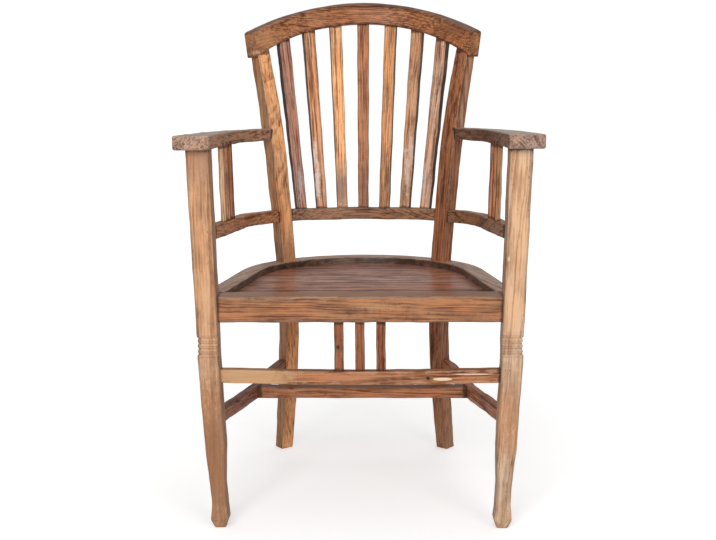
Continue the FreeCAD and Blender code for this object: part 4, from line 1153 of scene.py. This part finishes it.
class CHAIR_OT_seat_rim(PieceMaker, bpy.types.Operator):
    """Horseshoe rim round the seat, in three pieces between the front legs and the posts"""

    bl_idname = "chair.seat_rim"
    bl_label = "Seat rim"

    def make(self):
        """Each side starts narrow inside the leg, beside the end of the front rail."""
        start = FRONT_RAIL_BACK + 0.05
        outer = rim_line(RIM_OUTER, RIM_OUTER_SPREAD, LEG_HOUSING, start)
        inner = rim_line(RIM_INNER, RIM_INNER_SPREAD, FRONT_RAIL_BACK, start)
        y = np.array([LEG_HOUSING, 36.0, 50.0, FRONT_RAIL_BACK])
        slope = (outer[1, 0] - outer[0, 0]) / (outer[1, 1] - outer[0, 1])
        beside = np.column_stack([outer[0, 0] + slope * (y - start), y])
        outer = np.concatenate([beside, outer])
        inner = np.concatenate([np.column_stack([np.full(len(y), FRONT_RAIL_END), y]), inner])
        for name, sign in SIDES:
            flip = np.array([sign, 1])
            rim_piece(f"seat_rim_{name}", outer * flip, inner * flip)
        joints = ((radius, rim_joint(radius)) for radius in (RIM_OUTER, RIM_INNER))
        lines = [rim_arc(radius, joint, math.pi - joint, 60) for radius, joint in joints]
        rim_piece("seat_rim_back", *lines)


class CHAIR_OT_seat_boards(PieceMaker, bpy.types.Operator):
    """Boards across the seat, let into the rim"""

    bl_idname = "chair.seat_boards"
    bl_label = "Seat boards"

    def make(self):
        """A board's section in y and z is stretched in x to the panel's half width at that y."""
        pitch, joint, slack, half = 88.0, 0.6, 3.0, 100.0
        radius, spread = RIM_INNER + HOUSING, RIM_INNER_SPREAD + HOUSING
        _, touch_x, touch_y = rim_touch(radius, spread, FRONT_RAIL_BACK)
        starts = FRONT_RAIL_BACK + pitch * np.arange(5)
        ends = np.append(starts[1:] - joint, RIM_CENTRE + radius - slack)
        ticks = np.linspace(-1, 1, 41)
        for rank, (start, end) in enumerate(zip(starts, ends)):
            node = f"seat_board_{rank + 1}"
            height = BOARD_THICKNESS + 0.6 * waver(node, ticks * 2, 1)[:, 0]
            rows, marks, poles = carried(
                as_rows(ticks * half, (start + end) / 2, BOARD_TOP - BOARD_THICKNESS / 2),
                same(BACK, ticks), same(UP, ticks), rectangle(np.full(len(ticks), end - start), height),
                same([1.2, 1.2, 1.8, 1.8], ticks), (1.0, 1.0),
            )
            for points in (rows, poles):
                y = points[..., 1]
                run = np.interp(y, [FRONT_RAIL_BACK, touch_y], [spread, touch_x])
                arc = np.sqrt(np.clip(radius ** 2 - (y - RIM_CENTRE) ** 2, 0, None))
                points[..., 0] *= np.where(y < touch_y, run, arc) / half
            put(node, (rows, marks, poles))


class CHAIR_OT_seat_battens(PieceMaker, bpy.types.Operator):
    """Battens under the seat boards"""

    bl_idname = "chair.seat_battens"
    bl_label = "Seat battens"

    def make(self):
        out, width, height = 100, 24, 14
        end = RIM_CENTRE + math.sqrt(RIM_INNER ** 2 - out ** 2) + HOUSING
        level = BOARD_TOP - BOARD_THICKNESS - height / 2
        for name, sign in SIDES:
            stations = [
                (sign * out, y, level, 0, width, height) for y in (FRONT_RAIL_BACK - HOUSING, end)
            ]
            bar(f"seat_batten_{name}", stations, "level", rows=30)


class CHAIR_OT_front_stretcher(PieceMaker, bpy.types.Operator):
    """Stretcher between the front legs that hangs a little in the middle"""

    bl_idname = "chair.front_stretcher"
    bl_label = "Front stretcher"

    def make(self):
        """It ends in the legs, whose middles stand closer together below the beads."""
        thickness, height, sag, middle = 19, 25, 4, 19.5
        heights, _, spreads = np.array(FRONT_LEG).T
        half = np.interp(-STRETCHER_TOP, -heights, spreads) - FRONT_LEG[2][1] / 2 + HOUSING
        level = STRETCHER_TOP - height / 2
        stations = [
            (x, middle, level - drop, 90, thickness, height)
            for x, drop in ((-half, 0), (0, sag), (half, 0))
        ]
        bar("front_stretcher", stations, "level", rows=60)


class CHAIR_OT_front_slats(PieceMaker, bpy.types.Operator):
    """Three short slats between the front stretcher and the seat rail"""

    bl_idname = "chair.front_slats"
    bl_label = "Front slats"

    def make(self):
        middle, foot, top = 16.75, 286, 391
        for rank in range(3):
            x = SHORT_PITCH * (rank - 1)
            stations = [(x, middle, z, 0, SHORT_WIDE, SHORT_THIN) for z in (foot, top)]
            bar(f"front_slat_{rank + 1}", stations, "upright", rows=24, edge=2.0)


class CHAIR_OT_side_stretchers(PieceMaker, bpy.types.Operator):
    """Side stretchers that bow inwards and climb to the back posts"""

    bl_idname = "chair.side_stretchers"
    bl_label = "Side stretchers"

    def make(self):
        top, rise, height = 206, 3, 25
        bent_bars(
            "side_stretcher", SIDE_STRETCHER, (STRETCHER_OUT, LEG_HOUSING), STRETCHER_END,
            top - height / 2, rise, 20, height, 24, rows=60,
        )


class CHAIR_OT_cross_stretcher(PieceMaker, bpy.types.Operator):
    """Straight stretcher between the side stretchers"""

    bl_idname = "chair.cross_stretcher"
    bl_label = "Cross stretcher"

    def make(self):
        """Its ends lie in the side stretchers, at their share of the way out there."""
        back, level, thickness, height = 237, 195, 25, 23
        end_x, end_y = STRETCHER_END
        along = (back - LEG_HOUSING) / (end_y - LEG_HOUSING)
        out = np.interp(along, *np.array(SIDE_STRETCHER).T)
        half = end_x + (STRETCHER_OUT - end_x) * out
        stations = [(x, back, level, 90, thickness, height) for x in (-half, half)]
        bar("cross_stretcher", stations, "level", rows=40, lets=(12.0, 12.0))


class CHAIR_OT_stage(PieceMaker, bpy.types.Operator):
    """Floor, room light, lamps and the camera"""

    bl_idname = "chair.stage"
    bl_label = "Studio and camera"

    def make(self):
        scene = bpy.context.scene
        studio = scene.studio
        scene.view_settings.view_transform = "Standard"
        self.make_room(scene, studio)
        self.make_floor(studio)
        self.make_lamp("key_lamp", (-0.7, -3.0, 1.9), (0, -0.05, 0.5), 1.5, studio.key)
        self.make_lamp("fill_lamp", (1.5, -2.8, 1.3), (0, 0, 0.45), 1.4, studio.key * 0.5)
        self.make_lamp("top_lamp", (0.2, 0.6, 2.6), (0, 0, 0.6), 1.5, studio.key * 0.2)
        self.make_camera(scene)

    def make_room(self, scene, studio):
        """The world lights evenly, and shows white to the camera alone."""
        world = bpy.data.worlds.new("studio_room")
        w = fresh(world)
        seen = w.read("ShaderNodeLightPath", "Is Camera Ray")
        light = w.node("ShaderNodeBackground", {
            "Color": (1.0, 1.0, 1.0), "Strength": w.spread(seen, 0.0, 1.0, studio.sky, 1.0),
        })
        w.node("ShaderNodeOutputWorld", {"Surface": w.result(light)})
        scene.world = world

    def make_floor(self, studio):
        """A level square on the ground, that glows faintly to the camera alone."""
        half, shadow_reach = 60.0, 2.2
        corners = ((-half, -half, 0), (half, -half, 0), (half, half, 0), (-half, half, 0))
        mesh = bpy.data.meshes.new("floor")
        mesh.from_pydata(corners, [], [(0, 1, 2, 3)])
        floor = bpy.data.objects.new("floor", mesh)
        bpy.context.scene.collection.objects.link(floor)
        material = bpy.data.materials.new("floor_paint")
        w = fresh(material)
        seen = w.read("ShaderNodeLightPath", "Is Camera Ray")
        away = w.vector("LENGTH", w.read("ShaderNodeTexCoord", "Object"))
        glow = w.spread(away, 0.0, shadow_reach, studio.near_glow, studio.glow)
        shader = w.node("ShaderNodeBsdfPrincipled", {
            "Base Color": studio.floor, "Roughness": 0.9, "Specular IOR Level": 0.1,
            "Emission Color": (1.0, 1.0, 1.0), "Emission Strength": seen * glow,
        })
        w.node("ShaderNodeOutputMaterial", {"Surface": w.result(shader)})
        mesh.materials.append(material)

    def make_lamp(self, name, place, aim, size, power):
        """A square soft lamp that looks at a point."""
        light = bpy.data.lights.new(name, "AREA")
        light.shape = "SQUARE"
        light.size = size
        light.energy = power
        lamp = bpy.data.objects.new(name, light)
        bpy.context.scene.collection.objects.link(lamp)
        turn = (Vector(aim) - Vector(place)).to_track_quat("-Z", "Y")
        lamp.matrix_world = Matrix.Translation(place) @ turn.to_matrix().to_4x4()

    def make_camera(self, scene):
        """The photograph's view, worked out from the chair's own symmetry and sizes."""
        place, lens = (0.0369, -2.1122, 0.7708), 53.34
        pitch, yaw, roll = (math.radians(a) for a in (9.06, -1.23, 0.33))
        forward = Vector(
            (math.sin(yaw) * math.cos(pitch), math.cos(yaw) * math.cos(pitch), -math.sin(pitch))
        )
        right = Vector((math.cos(yaw), -math.sin(yaw), 0))
        down = forward.cross(right)
        turned = right * math.cos(roll) + down * math.sin(roll)
        lowered = down * math.cos(roll) - right * math.sin(roll)
        data = bpy.data.cameras.new("studio_camera")
        data.sensor_fit = "HORIZONTAL"
        data.sensor_width = 36.0
        data.lens = lens
        camera = bpy.data.objects.new("studio_camera", data)
        scene.collection.objects.link(camera)
        facing = Matrix((turned, -lowered, -forward)).transposed().to_4x4()
        camera.matrix_world = Matrix.Translation(place) @ facing
        scene.camera = camera


PIECES = (
    CHAIR_OT_front_legs, CHAIR_OT_back_posts, CHAIR_OT_crest_rail, CHAIR_OT_back_slats,
    CHAIR_OT_lower_back_rail, CHAIR_OT_arms, CHAIR_OT_side_rails, CHAIR_OT_arm_slats,
    CHAIR_OT_seat_front_rail, CHAIR_OT_seat_rim, CHAIR_OT_seat_boards, CHAIR_OT_seat_battens,
    CHAIR_OT_front_stretcher, CHAIR_OT_front_slats, CHAIR_OT_side_stretchers,
    CHAIR_OT_cross_stretcher,
)


class CHAIR_PT_panel(bpy.types.Panel):
    """Lists the chair's sizes, colours and pieces"""

    bl_label = "Slatted armchair"
    bl_idname = "CHAIR_PT_panel"
    bl_space_type = "VIEW_3D"
    bl_region_type = "UI"
    bl_category = "Armchair"

    def draw(self, context):
        for group, kind in GROUPS.items():
            for name in kind.__annotations__:
                self.layout.prop(getattr(context.scene, group), name)
        for operator in (*PIECES, CHAIR_OT_stage):
            self.layout.operator(operator.bl_idname)


GROUPS = {"chair_sizes": ChairSizes, "teak_colours": TeakColours, "studio": Studio}
CLASSES = (*GROUPS.values(), *PIECES, CHAIR_OT_stage, CHAIR_PT_panel)


def register():
    for made in CLASSES:
        bpy.utils.register_class(made)
    for name, kind in GROUPS.items():
        setattr(bpy.types.Scene, name, PointerProperty(type=kind))


def unregister():
    for name in GROUPS:
        delattr(bpy.types.Scene, name)
    for made in reversed(CLASSES):
        bpy.utils.unregister_class(made)


def main():
    register()
    teak_group()
    patch_group()
    for operator in (*PIECES, CHAIR_OT_stage):
        area, name = operator.bl_idname.split(".")
        getattr(getattr(bpy.ops, area), name)()


if __name__ == "__main__":
    main()
